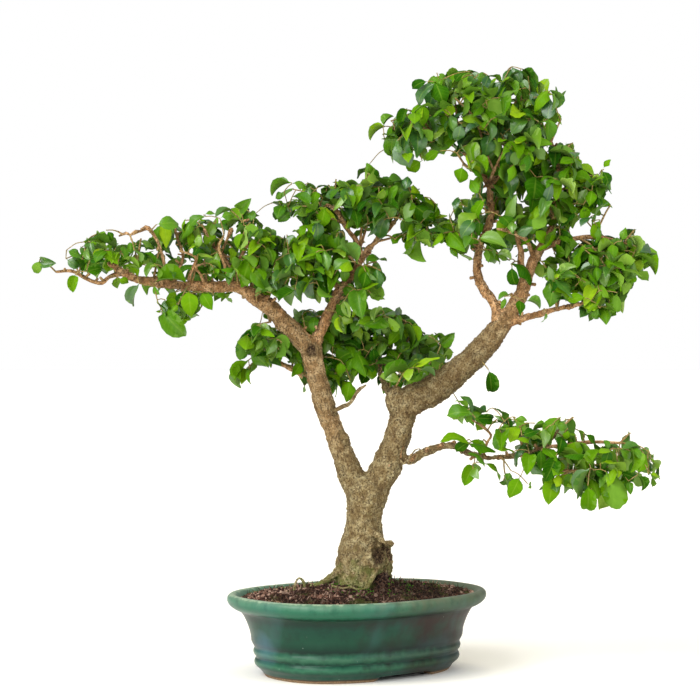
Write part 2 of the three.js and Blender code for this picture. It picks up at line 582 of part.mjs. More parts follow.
// The bare twigs of one shoot, seated on the wood.
function startShoot([name, start, [firstTip, ...otherTips]], woodRoom) {
  const base = nearestWood(realPlace(start));
  const first = twigCurve(base, realPlace(firstTip));
  const fork = base.clone().lerp(first.getPoint(0.5), SIDE_TWIG_AT);
  const curves = [first, ...otherTips.map((tip) => twigCurve(fork, realPlace(tip)))];
  const twigs = curves.map(makeTwig).reduce((joined, twig) => joined.add(twig));
  return { name, curves, solid: largestBody(twigs.subtract(woodRoom)) };
}

// All shoots: first their twigs, then leaf after leaf wherever there is room.
function makeShoots(woodRoom) {
  const random = seededRandom(LEAF_SEED);
  const shoots = SHOOTS.map((entry) => startShoot(entry, woodRoom));
  const touching = shoots.flatMap((shoot, i) => shoots.slice(i + 1)
    .filter((other) => shoot.solid.minGap(other.solid, SEAT_GAP) < SEAT_GAP)
    .map((other) => `${shoot.name} and ${other.name}`));
  if (touching.length) {
    throw new Error(`these twigs touch: ${touching.join(', ')}`);
  }
  for (const shoot of shoots) {
    const others = shoots.filter((other) => other !== shoot);
    for (const curve of shoot.curves) {
      for (const { base, direction } of leavesOnTwig(curve, random)) {
        const length = LEAF_LENGTH + LEAF_LENGTH_SPREAD * (2 * random() - 1);
        const leaf = makeLeaf(base, direction, length);
        if (!isClear(leaf, [woodRoom, ...others.map((other) => other.solid)])) {
          continue;
        }
        const joined = largestBody(shoot.solid.add(leaf));
        if (isSound(joined)) {
          shoot.solid = joined;
        }
      }
    }
  }
  return shoots;
}

const MATERIALS = {
  glaze: { color: 0x45715e, roughness: 0.18, metalness: 0 },
  soil: { color: 0x3a2a20, roughness: 1, metalness: 0 },
  meshPlastic: { color: 0x2b2b2b, roughness: 0.6, metalness: 0 },
  bark: { color: 0x9a8f7c, roughness: 0.9, metalness: 0 },
  leaf: { color: 0x3f6b35, roughness: 0.4, metalness: 0 },
};

function addPiece(group, name, solid, look) {
  const mesh = new THREE.Mesh(toGeometry(solid), new THREE.MeshStandardMaterial(MATERIALS[look]));
  mesh.name = name;
  group.add(mesh);
}

const bonsai = new THREE.Group();
const tree = new THREE.Group();
const woodRoom = makeWood(SEAT_GAP);
addPiece(bonsai, 'pot', makePot(), 'glaze');
DRAINS.forEach((along, i) => {
  addPiece(bonsai, `drain_mesh_${i + 1}`, makeDrainMesh(along), 'meshPlastic');
});
addPiece(bonsai, 'soil', makeSoil(woodRoom), 'soil');
addPiece(tree, 'trunk_and_branches', carveOldCuts(makeWood(0)), 'bark');
for (const { name, solid } of makeShoots(woodRoom)) {
  addPiece(tree, name, solid, 'leaf');
}
bonsai.add(tree);

const box = new THREE.Box3().setFromObject(bonsai);
const middle = box.getCenter(new THREE.Vector3());
bonsai.position.set(-middle.x, -middle.y, -box.min.z);

export default bonsai;
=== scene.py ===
# %% [markdown]
# # A privet bonsai in a glazed oval pot
#
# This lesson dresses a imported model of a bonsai: it keeps the places that the model gives and gives every
# surface its real shape and finish. The pot, the wood, the soil, the twigs and the leaves each get their own
# cells. Lengths are written in millimetres and turned to Blender's metres where a mesh is made.

# %% Load the model that everything is built around
import json
import math
import random

import bmesh
import bpy
import numpy as np
from mathutils import Matrix, Vector, kdtree, noise

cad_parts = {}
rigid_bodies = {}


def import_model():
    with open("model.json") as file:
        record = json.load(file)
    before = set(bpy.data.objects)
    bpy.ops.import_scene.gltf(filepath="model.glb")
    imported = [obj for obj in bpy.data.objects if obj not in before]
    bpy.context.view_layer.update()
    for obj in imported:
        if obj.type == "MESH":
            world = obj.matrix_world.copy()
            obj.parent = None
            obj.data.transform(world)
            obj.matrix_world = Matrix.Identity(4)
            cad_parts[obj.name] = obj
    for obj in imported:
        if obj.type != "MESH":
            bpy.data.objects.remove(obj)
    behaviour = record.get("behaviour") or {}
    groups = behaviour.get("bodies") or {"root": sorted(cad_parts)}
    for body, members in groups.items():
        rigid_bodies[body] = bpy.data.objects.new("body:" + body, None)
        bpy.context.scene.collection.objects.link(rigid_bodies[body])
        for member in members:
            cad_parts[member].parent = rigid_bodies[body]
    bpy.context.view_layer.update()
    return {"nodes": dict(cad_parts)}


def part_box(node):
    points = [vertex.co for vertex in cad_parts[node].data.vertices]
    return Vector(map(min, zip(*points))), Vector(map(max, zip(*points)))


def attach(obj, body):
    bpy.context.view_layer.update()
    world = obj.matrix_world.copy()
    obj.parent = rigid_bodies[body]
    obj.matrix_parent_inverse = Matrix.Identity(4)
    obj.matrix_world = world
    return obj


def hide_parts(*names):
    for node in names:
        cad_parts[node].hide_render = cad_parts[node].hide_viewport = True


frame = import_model()
scene = bpy.context.scene
MM = 0.001
pot_low, pot_high = (np.array(corner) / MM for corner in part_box("pot"))
POT_X, POT_Y = ((pot_low + pot_high) / 2)[:2]
print(len(frame["nodes"]), "pieces in the model; the pot stands at", round(POT_X, 2), round(POT_Y, 2), "mm")

# %% [markdown]
# ## Where things are seen
#
# The photograph was taken level with the middle of the tree, from a little over two metres. A thing nearer to
# the lens looks larger, so a place is easiest to write as it is seen: x and z as they look at the pot's own
# distance, and y as the true depth behind the pot's middle. One function turns that into a real place.

# %% From a place as it is seen to a real one
EYE_DISTANCE = 2150
EYE_X = -8
EYE_HEIGHT = 321


def seen(place):
    """The real place, in millimetres in the model's frame, of (x, depth, z) as the photograph shows it."""
    x, depth, z = place[:3]
    grow = 1 + depth / EYE_DISTANCE
    return np.array((
        POT_X + EYE_X + (x - EYE_X) * grow,
        POT_Y + depth,
        EYE_HEIGHT + (z - EYE_HEIGHT) * grow,
    ))


# %% [markdown]
# ## Camera, floor and light
#
# A long lens from far away keeps the pot's oval true. The camera looks level along +Y, as the photograph
# does. The floor is a plain pale sheet that glows warm from below, with a painted shadow round the pot's
# foot. The light is a bright white room with two broad soft lights, one above on the left and one in front,
# that reach the whole floor evenly, and a soft lamp on the right.

# %% Camera
PHOTO_WIDTH = 700
SENSOR = 36
camera = bpy.data.objects.new("camera", bpy.data.cameras.new("camera"))
scene.collection.objects.link(camera)
camera.data.sensor_width = SENSOR
camera.data.lens = SENSOR * EYE_DISTANCE / PHOTO_WIDTH
camera.data.clip_end = 100
camera.location = Vector((POT_X + EYE_X, POT_Y - EYE_DISTANCE, EYE_HEIGHT)) * MM
camera.rotation_euler = (math.pi / 2, 0, 0)
scene.camera = camera
print("lens", round(camera.data.lens, 2), "mm")


# %% One function for colours and one for nodes
def linear(hex_colour):
    """A hex colour as the linear numbers that Blender mixes with."""
    parts = [int(hex_colour[i:i + 2], 16) / 255 for i in (1, 3, 5)]
    return tuple(p / 12.92 if p <= 0.04045 else ((p + 0.055) / 1.055) ** 2.4 for p in parts) + (1.0,)


def shown(sockets, name):
    """The socket of that number, or the first one in use of that name."""
    if isinstance(name, int):
        return sockets[name]
    return next(socket for socket in sockets if socket.enabled and socket.name == name)


def add(tree, kind, links=None, stops=(), **settings):
    """Adds one node. links gives each input a value or what feeds it, and stops are a colour ramp's."""
    node = tree.nodes.new(kind)
    for name, value in settings.items():
        setattr(node, name, value)
    for number, (place, colour) in enumerate(stops):
        elements = node.color_ramp.elements
        inner = 0 < number < len(stops) - 1
        element = elements.new(place) if inner else elements[-1 if number else 0]
        element.position, element.color = place, linear(colour)
    for name, value in (links or {}).items():
        socket = shown(node.inputs, name)
        if isinstance(value, bpy.types.Node):
            value = next(output for output in value.outputs if output.enabled)
        if isinstance(value, bpy.types.NodeSocket):
            tree.links.new(value, socket)
        else:
            socket.default_value = value
    return node


# %% Short names for the nodes that are used most
def new_material(name):
    """An empty finish, its tree, and the place of each point of the piece that wears it."""
    material = bpy.data.materials.new(name)
    material.use_nodes = True
    tree = material.node_tree
    tree.nodes.clear()
    return material, tree, add(tree, "ShaderNodeTexCoord").outputs["Object"]


def per(millimetres):
    """The scale that gives a pattern features of this size."""
    return 1 / (millimetres * MM)


def maths(tree, operation, *values):
    """A sum on numbers. MULTIPLY_ADD is the first value times the second, plus the third."""
    return add(tree, "ShaderNodeMath", dict(enumerate(values)), operation=operation)


def vectors(tree, operation, *values):
    return add(tree, "ShaderNodeVectorMath", dict(enumerate(values)), operation=operation)


def scaled(tree, vector, factor):
    return add(tree, "ShaderNodeVectorMath", {0: vector, "Scale": factor}, operation="SCALE")


def parts(tree, vector):
    return add(tree, "ShaderNodeSeparateXYZ", {0: vector}).outputs


def stored(tree, name, output="Fac"):
    """An attribute that the piece's mesh carries."""
    return add(tree, "ShaderNodeAttribute", attribute_name=name).outputs[output]


def clouds_of(tree, place, size, detail=2, roughness=0.5, distortion=0):
    """Soft noise with features of this size in millimetres."""
    return add(tree, "ShaderNodeTexNoise", {
        "Vector": place, "Scale": per(size), "Detail": detail, "Roughness": roughness,
        "Distortion": distortion})


def cells_of(tree, place, size):
    """How far each point is from the nearest of many scattered spots, this many millimetres apart."""
    return add(tree, "ShaderNodeTexVoronoi", {"Vector": place, "Scale": per(size)})


def far_from(tree, place, spot):
    """The distance in metres from a spot that is written as it is seen."""
    return vectors(tree, "DISTANCE", place, tuple(MM * part for part in seen(spot))).outputs["Value"]


def spread(tree, value, low, high, start=0, end=1):
    """Turns the values from low to high into ones from start to end, and holds them beyond."""
    return add(tree, "ShaderNodeMapRange", {
        "Value": value, "From Min": low, "From Max": high, "To Min": start, "To Max": end})


def ramp(tree, value, stops):
    return add(tree, "ShaderNodeValToRGB", {0: value}, stops)


def blend(tree, factor, colour, over):
    """Mixes two colours. The second may be a hex colour."""
    over = linear(over) if isinstance(over, str) else over
    return add(tree, "ShaderNodeMix", {"Factor": factor, "A": colour, "B": over}, data_type="RGBA")


def lay(tree, colour, over, value, low, high, most=1):
    """Lays a second colour over the first: none where the value is low, and most where it is high."""
    return blend(tree, spread(tree, value, low, high, 0, most), colour, over)


def close_finish(tree, colour, roughness, relief=None, specular=0.5, **more):
    """Ends a finish with its shader. relief is a height, the strength of its bump and its reach in metres."""
    links = {"Base Color": colour, "Roughness": roughness, "Specular IOR Level": specular, **more}
    if relief:
        links["Normal"] = add(tree, "ShaderNodeBump", dict(zip(("Height", "Strength", "Distance"), relief)))
    add(tree, "ShaderNodeOutputMaterial", {"Surface": add(tree, "ShaderNodeBsdfPrincipled", links)})


def new_object(name, mesh):
    made = bpy.data.objects.new(name, mesh)
    scene.collection.objects.link(made)
    return made


# %% Floor
FLOOR_HALF = 30
# The pot's foot on the floor: its middle, and half its length and width in metres.
FOOT_CENTRE = (POT_X * MM, POT_Y * MM, 0)
FOOT_REACH = (0.1, 0.075, 1)
floor_finish, tree, place = new_material("pale matt floor")
tone = ramp(tree, clouds_of(tree, place, 40), [(0.3, "#F3F2EF"), (0.7, "#F6F5F2")])
# A light table: warm light comes through it, which keeps the shadows faint. Round the pot's foot the glow
# is taken away, which paints a soft shadow there.
painted_shadow_distance = vectors(tree, "DIVIDE", vectors(tree, "SUBTRACT", place, FOOT_CENTRE), FOOT_REACH)
painted_shadow_distance = vectors(tree, "LENGTH", painted_shadow_distance).outputs["Value"]
glow = spread(tree, painted_shadow_distance, 0.95, 1.4, 0, 0.3)
close_finish(tree, tone, 0.8, **{"Emission Color": linear("#FFF2CE"), "Emission Strength": glow})

corners = [(x * FLOOR_HALF, y * FLOOR_HALF, 0) for x, y in ((-1, -1), (1, -1), (1, 1), (-1, 1))]
floor_mesh = bpy.data.meshes.new("floor")
floor_mesh.from_pydata(corners, [], [(0, 1, 2, 3)])
floor_mesh.materials.append(floor_finish)
floor = new_object("floor", floor_mesh)

# %% Light
scene.view_settings.view_transform = "Standard"
ROOM_LIGHT, ROOM_IN_REFLECTIONS = 0.6, 0.42
world = bpy.data.worlds.new("white room")
world.use_nodes = True
scene.world = world
sky = world.node_tree
sky.nodes.clear()
# The room looks pure white, and lights the tree with a little over half of that. Dark screens stand round the
# tree, so the gloss of leaves and glaze doesn't haze over.
rays = add(sky, "ShaderNodeLightPath").outputs
strength = add(sky, "ShaderNodeMix", {
    "Factor": rays["Is Glossy Ray"], "A": ROOM_LIGHT, "B": ROOM_IN_REFLECTIONS})
strength = add(sky, "ShaderNodeMix", {"Factor": rays["Is Camera Ray"], "A": strength, "B": 1.0})
room = add(sky, "ShaderNodeBackground", {"Color": (1, 1, 1, 1), "Strength": strength})
add(sky, "ShaderNodeOutputWorld", {"Surface": room})

LAMPS = [
    # name, kind, place that it shines from (m), strength, and how wide it looks (an angle) or is (m)
    ("soft light above left", "SUN", (-1.7, -1.5, 2.3), 2.2, math.radians(40)),
    ("soft light in front", "SUN", (-0.7, -2.8, 1.3), 1.4, math.radians(40)),
    ("soft lamp right", "AREA", (2.2, -1.2, 1.3), 14, 1.2),
]
for name, kind, place, strength, width in LAMPS:
    lamp = bpy.data.lights.new(name, kind)
    lamp.energy = strength
    setattr(lamp, "angle" if kind == "SUN" else "size", width)
    made = new_object(name, lamp)
    made.location = place
    made.rotation_euler = (Vector((0, 0, 0.3)) - Vector(place)).to_track_quat("-Z", "Y").to_euler()
    print(name, strength)

# %% [markdown]
# ## The pot
#
# The pot is stoneware, pressed in a mould: an oval a little squarer than an ellipse, with a rolled lip, a
# ledge near the foot, two soft bands and a foot ring that is cut away in the middle of each long side. One
# profile, drawn from foot to lip, is lofted round the oval. A loft keeps every ridge even all the way round,
# which a sculpted or box-modelled pot would not. The drainage holes are then cut with a boolean.

# %% The pot's profile
POT_TURN = math.radians(38)
OVAL_POWER = 2.4
HALF_LENGTH_OVER_HALF_WIDTH = 31
FLOOR_HEIGHT = 13
FOOT_HEIGHT = 5
FOOT_HALF_LENGTH = 88
# The gaps in the foot reach this far to each side, over sloping ends.
FOOT_GAP_HALF_LENGTH, FOOT_GAP_SLOPE = 37, 7
# The gap at the front is cut a little off the middle.
FOOT_GAP_SHIFT = 6
LIP_TOP = 80.2
DRAIN_RADIUS = 9
DRAIN_SPACING = 88
DRAIN_SIDES = 48
PROFILE_STEP = 1.6
# Both sides of the floor are filled by ovals of these shares.
FLOOR_SHARES = (0.3, 0.7, 0.96)
CHIP_RADIUS, CHIP_DEPTH = 3.2, 1.6
WALL_WAVER = 0.35
# The outside from foot to lip and the inside from lip to floor: half length and height.
POT_OUTSIDE = [
    (98.6, 0), (100.2, 3), (102.2, 6), (104.4, 8), (107.2, 10.6), (108.5, 13.8), (107.9, 16.6), (106.7, 18.3),
    (107.1, 19.8), (108.9, 22), (109.5, 25), (108.7, 27.2), (108.4, 28.8), (109.8, 31.2), (111.2, 34.4),
    (111.7, 38), (112.4, 43), (115.4, 52), (119, 59.5), (122.4, 63.6), (126.8, 65.6), (131.4, 69),
    (134, 73.4), (133.6, 77.6), (130.8, 80.2),
]
POT_INSIDE = [
    (127.4, 80), (124.6, 77.6), (122, 74), (116.4, 66), (110, 54), (104.6, 40), (101.4, 26), (97, 16),
]
print(len(POT_OUTSIDE) + len(POT_INSIDE), "points in the profile")


# %% Smooth curves and oval rings
def smooth_path(points, step):
    """A smooth curve through rows of numbers, with a row about every step millimetres."""
    rows = np.array(points, float)
    rows = np.vstack((2 * rows[0] - rows[1], rows, 2 * rows[-1] - rows[-2]))
    curve = []
    for before, start, end, after in zip(rows, rows[1:], rows[2:], rows[3:]):
        count = max(1, math.ceil(np.linalg.norm((end - start)[:3]) / step))
        for t in np.arange(count) / count:
            bend = 2 * before - 5 * start + 4 * end - after
            twist = 3 * start - 3 * end + after - before
            curve.append(start + 0.5 * t * (end - before + t * (bend + t * twist)))
    curve.append(rows[-2])
    return np.array(curve)


def oval_ring(half_length, height, share=1.0, segments=192):
    """A level ring of the pot's oval, in the model's frame."""
    angles = np.linspace(0, 2 * math.pi, segments, endpoint=False)
    round_off = [np.sign(wave) * np.abs(wave) ** (2 / OVAL_POWER)
                 for wave in (np.cos(angles), np.sin(angles))]
    along = share * half_length * round_off[0]
    across = share * (half_length - HALF_LENGTH_OVER_HALF_WIDTH) * round_off[1]
    x = along * math.cos(POT_TURN) - across * math.sin(POT_TURN) + POT_X
    y = along * math.sin(POT_TURN) + across * math.cos(POT_TURN) + POT_Y
    return np.column_stack((x, y, np.full(segments, float(height))))


def loft(rings, start, end):
    """Points and faces of a closed skin over rings that turn to the left along their way."""
    count = len(rings[0])
    points = np.vstack([*rings, start, end])
    first, last, base = len(points) - 2, len(points) - 1, count * (len(rings) - 1)
    faces = []
    for i in range(count):
        j = (i + 1) % count
        faces.append((first, j, i))
        faces.append((last, base + i, base + j))
        faces.extend((row + i, row + j, row + count + j, row + count + i) for row in range(0, base, count))
    return points, faces


def new_mesh(name, points, faces, *finishes):
    """A smooth mesh from points in millimetres."""
    mesh = bpy.data.meshes.new(name)
    mesh.from_pydata((np.asarray(points) * MM).tolist(), [], faces)
    mesh.shade_smooth()
    for finish in finishes:
        mesh.materials.append(finish)
    return mesh


def store(mesh, name, values, kind="FLOAT"):
    """Gives each point of a mesh a value that nodes can read."""
    layer = mesh.attributes.new(name, kind, "POINT")
    layer.data.foreach_set("vector" if kind == "FLOAT_VECTOR" else "value", np.asarray(values, float).ravel())


def take_modifiers(piece):
    """Turns what the piece's modifiers make into its own plain mesh."""
    view = bpy.context.evaluated_depsgraph_get()
    made = bpy.data.meshes.new_from_object(
        piece.evaluated_get(view), preserve_all_data_layers=True, depsgraph=view)
    piece.modifiers.clear()
    piece.data = made
    return made


# %% The finish: copper green glaze over brown stoneware
# The glaze is a glass, so it is glossy and its colour pools: deep green where it lies thick, brown to black
# where it ran thin under the lip and on the ledges. The bands by height also hold painted light: painted
# shade in the grooves and in the line under the lip, and painted highlights on the ledges and along the
# lip's crest. The foot was wiped bare before firing, so it is matt clay.
green_glaze, tree, place = new_material("green stoneware glaze")
centred = vectors(tree, "SUBTRACT", place, FOOT_CENTRE)
runs = add(tree, "ShaderNodeMapping", {"Vector": centred, "Scale": (1, 1, 0.1)})
runs = clouds_of(tree, runs, 7, 4)
clouds = clouds_of(tree, centred, 38, 3, roughness=0.6)
axes = parts(tree, centred)
# Heights move up and down a little with the runs, so that no band is ruled.
height = maths(tree, "MULTIPLY_ADD", runs, 0.006, axes["Z"])
height = spread(tree, height, 0.003, 0.085)
TALL = 82


def bands(*rows):
    """Colour ramp stops from heights in millimetres."""
    return [(level / TALL, colour) for level, colour in rows]


# Painted shade: the dark stops in the grooves (18.7 and 31 mm) and under the lip (63.5 mm). Painted
# highlights: the lighter stops on the ledges and the pale stops at the lip's crest.
thick = ramp(tree, height, bands(
    (3, "#375044"), (6.5, "#144234"), (9, "#123C2E"), (13.5, "#2D6148"), (16.5, "#1E4E3A"), (18.7, "#073125"),
    (21, "#24533E"), (24.5, "#38624B"), (27, "#25533F"), (31, "#07261E"), (35, "#0C3224"), (42, "#123F2D"),
    (53, "#113C2E"), (59, "#142D24"), (63.5, "#072F1F"), (67, "#205C44"), (73, "#29634B"), (76, "#44725A"),
    (79.2, "#5F8269"), (80.2, "#97AD8E")))
thin = ramp(tree, height, bands(
    (3, "#2B2318"), (9, "#1B1D11"), (14, "#252F1D"), (18.7, "#11110A"), (24.5, "#2B3A25"), (28, "#1B1D11"),
    (31, "#130C0A"), (44, "#231B16"), (58, "#291B16"), (63.5, "#15130D"), (68, "#2A402E"), (75, "#455640"),
    (80, "#616953")))
# The glaze ran thinner on the right half of the pot.
east = add(tree, "ShaderNodeMapRange", {
    "Value": axes["X"], "From Min": -0.02, "From Max": 0.12, "To Min": -0.12, "To Max": 0.72},
    interpolation_type="SMOOTHSTEP")
patches = maths(tree, "MULTIPLY_ADD", clouds, 1.5, east)
patches = maths(tree, "MULTIPLY_ADD", runs, 0.5, patches)
ran_thin = spread(tree, patches, 1, 1.65)
colour = blend(tree, ran_thin, thick, thin)
mottle = clouds_of(tree, centred, 15, 5, roughness=0.65)
colour = lay(tree, colour, "#0C2A21", mottle, 0.5, 0.68, 0.4)
# A milky blue bloom, in soft patches about 30 mm across. The bluish patch at the front left is a painted
# sheen, a reflection of the light.
bloom = clouds_of(tree, centred, 55, 2, distortion=0.6)
colour = lay(tree, colour, "#3F6668", bloom, 0.55, 0.75, 0.25)
left = maths(tree, "MULTIPLY_ADD", clouds, 0.02, far_from(tree, place, (-84, -54, 25)))
colour = lay(tree, colour, "#517389", left, 0.034, 0.014, 0.5)
# Inside the lip the wall is darker and greyer.
darker_inside_lip = maths(tree, "MULTIPLY_ADD", clouds, 1.1, stored(tree, "darker_inside_lip"))
colour = lay(tree, colour, "#2F3A30", darker_inside_lip, 0.95, 1.4, 0.85)
# Pin marks: pale specks a millimetre wide where gas came through the glaze.
colour = lay(tree, colour, "#8FA898", cells_of(tree, centred, 11), 0.05, 0.03, 0.7)
# Bare clay below 3 mm, with a dark line where the glaze ends.
grog = clouds_of(tree, centred, 1.6, 5)
clay = ramp(tree, grog, [(0.3, "#6F5A44"), (0.55, "#8E765A"), (0.75, "#A38C6C")])
edge = maths(tree, "MULTIPLY_ADD", clouds, 0.0016, axes["Z"])
colour = lay(tree, colour, "#3E2C1F", edge, 0.0049, 0.0038)
bare = spread(tree, edge, 0.0036, 0.0029)
colour = blend(tree, bare, colour, clay)
gloss = spread(tree, patches, 0.6, 1.8, 0.3, 0.46)
gloss = add(tree, "ShaderNodeMix", {"Factor": bare, "A": gloss, "B": 0.9})
# The glaze lies in faint waves about 10 mm long, and the clay shows its grit.
waves = clouds_of(tree, centred, 11, 2)
relief = add(tree, "ShaderNodeMix", {"Factor": bare, "A": waves, "B": grog})
close_finish(tree, colour, gloss, (relief, 0.12, 0.0006), specular=0.22)

# %% The pot's body
profile = [(FOOT_HALF_LENGTH, FOOT_HEIGHT), (FOOT_HALF_LENGTH + 0.4, 0.5), (FOOT_HALF_LENGTH + 1, 0.05)]
profile += [(POT_OUTSIDE[0][0] - 0.8, 0.05), (POT_OUTSIDE[0][0], 0.6)]
outside = smooth_path(POT_OUTSIDE[1:] + POT_INSIDE + [(FOOT_HALF_LENGTH, FLOOR_HEIGHT)], PROFILE_STEP)
profile += [tuple(row) for row in outside]
rings = [oval_ring(FOOT_HALF_LENGTH, FOOT_HEIGHT, share) for share in FLOOR_SHARES]
rings += [oval_ring(*level) for level in profile]
rings += [oval_ring(FOOT_HALF_LENGTH, FLOOR_HEIGHT, share) for share in reversed(FLOOR_SHARES)]
middle = [[POT_X, POT_Y, FOOT_HEIGHT], [POT_X, POT_Y, FLOOR_HEIGHT]]
points, faces = loft(rings, *middle)

# The foot is cut away in the middle of each long side: there its lowest part is drawn up, with sloping ends.
along = (points[:, 0] - POT_X) * math.cos(POT_TURN) + (points[:, 1] - POT_Y) * math.sin(POT_TURN)
along = along - FOOT_GAP_SHIFT * (points[:, 1] < POT_Y)
cut = np.clip((FOOT_GAP_HALF_LENGTH - np.abs(along)) / FOOT_GAP_SLOPE, 0, 1)
cut = cut * cut * (3 - 2 * cut)
low = points[:, 2] < FOOT_HEIGHT
points[low, 2] = FOOT_HEIGHT - (FOOT_HEIGHT - points[low, 2]) * (1 - 0.97 * cut[low])
# A chip has come off the foot's edge at the front left.
chip = seen((-54, -84, -9.5))
near = np.linalg.norm(points - chip, axis=1)
points[:, 2] += CHIP_DEPTH * np.clip(1 - near / CHIP_RADIUS, 0, 1)
# Hand work: the walls waver by a few tenths of a millimetre.
swing = np.arctan2(points[:, 1] - POT_Y, points[:, 0] - POT_X)
points[:, 2] += WALL_WAVER * np.sin(2 * swing + 0.7) * np.clip((points[:, 2] - 20) / 60, 0, 1)
pot = new_object("glazed_pot", new_mesh("glazed_pot", points, faces, green_glaze))
# The wall is darker from the lip inwards, and the inside is what comes last in the list of points.
inside_rings = len(smooth_path(POT_INSIDE, PROFILE_STEP)) + len(FLOOR_SHARES)
lip = len(points) - 2 - inside_rings * len(rings[0])
darker_inside_lip_shares = np.zeros(len(points))
darker_inside_lip_shares[lip:] = np.clip((LIP_TOP - points[lip:, 2]) / 3, 0, 1)
store(pot.data, "darker_inside_lip", darker_inside_lip_shares)

drills = []
for side in (-1, 1):
    angles = np.linspace(0, 2 * math.pi, DRAIN_SIDES, endpoint=False)
    x = POT_X + side * DRAIN_SPACING / 2 * math.cos(POT_TURN)
    y = POT_Y + side * DRAIN_SPACING / 2 * math.sin(POT_TURN)
    around = x + DRAIN_RADIUS * np.cos(angles), y + DRAIN_RADIUS * np.sin(angles)
    rings = [np.column_stack((*around, np.full(DRAIN_SIDES, level))) for level in (0.0, 2.0 * FLOOR_HEIGHT)]
    drill = new_object("drill", new_mesh("drill", *loft(rings, [[x, y, 0]], [[x, y, 2 * FLOOR_HEIGHT]])))
    drills.append(drill)
    hole = pot.modifiers.new("drainage hole", "BOOLEAN")
    hole.object, hole.operation, hole.solver = drill, "DIFFERENCE", "EXACT"
take_modifiers(pot)
for drill in drills:
    bpy.data.objects.remove(drill)
pot.data.shade_smooth()
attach(pot, "root")
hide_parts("pot")
print("pot:", len(pot.data.polygons), "faces")

# %% [markdown]
# ## Drainage mesh
#
# Under the soil a square of black plastic mesh lies over each hole. Nobody sees it from above, but it shows
# through the holes from below. The model's own pieces have the right shape, so they stay and only get a
# finish.

# %% Moulded polypropylene
# A moulded plastic is even in colour, a little waxy, with a fine texture from the mould.
mesh_plastic, tree, place = new_material("black moulded polypropylene")
mould = clouds_of(tree, place, 0.8, 3)
tone = ramp(tree, mould, [(0.3, "#1B1B1A"), (0.7, "#2A2A28")])
close_finish(tree, tone, spread(tree, mould, 0, 1, 0.4, 0.6), (mould, 0.3, 0.0002), IOR=1.49)
for name in ("drain_mesh_1", "drain_mesh_2"):
    for own in frame["nodes"][name].material_slots:
        own.link = "OBJECT"
        own.material = mesh_plastic
    print(name, "finished")

# %% [markdown]
# ## The soil
#
# The soil is a fibrous peaty mix, mounded up to the trunk and sunk to a shallow moat inside the rim. Its
# body is a loft like the pot. On top lie crumbs, bits of root fibre and moss, which repeat by the hundred,
# so Geometry Nodes scatters them: the script builds that tree once, and each use names its own seed, sizes
# and grain shape.

# %% The soil's body
SOIL_RIM = 121.8
SOIL_WALL_GAP = 0.6
DRAIN_MESH_TOP = FLOOR_HEIGHT + 2.2
# The top of the soil, from the rim to the middle: share of the oval, and height.
SOIL_TOP = [(1, 75.6), (0.93, 77.4), (0.84, 79), (0.62, 82), (0.36, 86.5), (0.14, 88.5)]
# Its lumps: how far apart they are, and how high.
SOIL_LUMPS = ((16, 2.2), (6, 1.3), (2.3, 0.9))
# A heap of dark peat leans on the right side of the trunk's foot.
HEAP = seen((25, -23, 74))
HEAP_RADIUS, HEAP_HEIGHT = 17, 13
walls = smooth_path(list(reversed(POT_INSIDE)), 6)
sides = [(row[0] - SOIL_WALL_GAP, row[1]) for row in walls if DRAIN_MESH_TOP < row[1] < SOIL_TOP[0][1] - 5]
rings = [oval_ring(sides[0][0], DRAIN_MESH_TOP, share) for share in (0.5, 1)]
rings += [oval_ring(*level) for level in sides]
crown = smooth_path([(share * 100, level) for share, level in SOIL_TOP], 1.7)
rings += [oval_ring(SOIL_RIM, level, share / 100) for share, level in crown]
points, faces = loft(rings, [POT_X, POT_Y, DRAIN_MESH_TOP], [POT_X, POT_Y, SOIL_TOP[-1][1]])
top_start = (2 + len(sides)) * len(rings[0])
for i in list(range(top_start, len(points) - 2)) + [len(points) - 1]:
    place = points[i]
    edge = (i - top_start) / (len(points) - top_start)
    lumps = sum(noise.noise(Vector(place / size)) * height for size, height in SOIL_LUMPS)
    away = math.hypot(place[0] - HEAP[0], place[1] - HEAP[1]) / HEAP_RADIUS
    heap = HEAP_HEIGHT * max(0, 1 - away * away) ** 1.5
    place[2] += lumps * min(1, 0.25 + 5 * edge) + heap
soil_mesh = new_mesh("soil", points, faces)
print("soil body:", len(faces), "faces")

# %% The finish of the soil
# Wet peat is nearly black in its hollows and rusty brown where it has dried, and it is never glossy.
fibrous_soil, tree, place = new_material("fibrous peaty soil")
clods = clouds_of(tree, place, 7, 6, roughness=0.65)
shade = maths(tree, "MULTIPLY_ADD", stored(tree, "tint"), 0.55, clods)
earth = ramp(tree, shade, [
    (0.36, "#0C0605"), (0.5, "#281815"), (0.62, "#50372F"), (0.78, "#7F5A4B"), (0.95, "#B89A86")])
earth = lay(tree, earth, "#120906", clouds_of(tree, place, 24, 3), 0.5, 0.6, 0.8)
# The heap by the trunk, and the soil to its right, are darkened to nearly black.
darker_right_of_trunk = maths(tree, "MULTIPLY_ADD", clods, 0.05, far_from(tree, place, (46, -22, 84)))
earth = lay(tree, earth, "#150D0A", darker_right_of_trunk, 0.125, 0.06, 0.85)
threads = add(tree, "ShaderNodeTexVoronoi", {"Vector": place, "Scale": per(4)}, feature="DISTANCE_TO_EDGE")
earth = lay(tree, earth, "#7A5A44", threads, 0.05, 0.02, 0.4)
earth = lay(tree, earth, "#4B5A22", clouds_of(tree, place, 26, 3), 0.58, 0.7, 0.5)
close_finish(tree, earth, 0.95, (clods, 0.8, 0.002), specular=0.1)

# The moss is fresh green and soft.
cushion_moss, tree, place = new_material("cushion moss")
tufts = clouds_of(tree, place, 2, 4)
green = ramp(tree, tufts, [(0.3, "#1F3F0C"), (0.5, "#3A6A16"), (0.7, "#679A2C")])
close_finish(tree, green, 0.95, (tufts, 1, 0.001), specular=0.1)

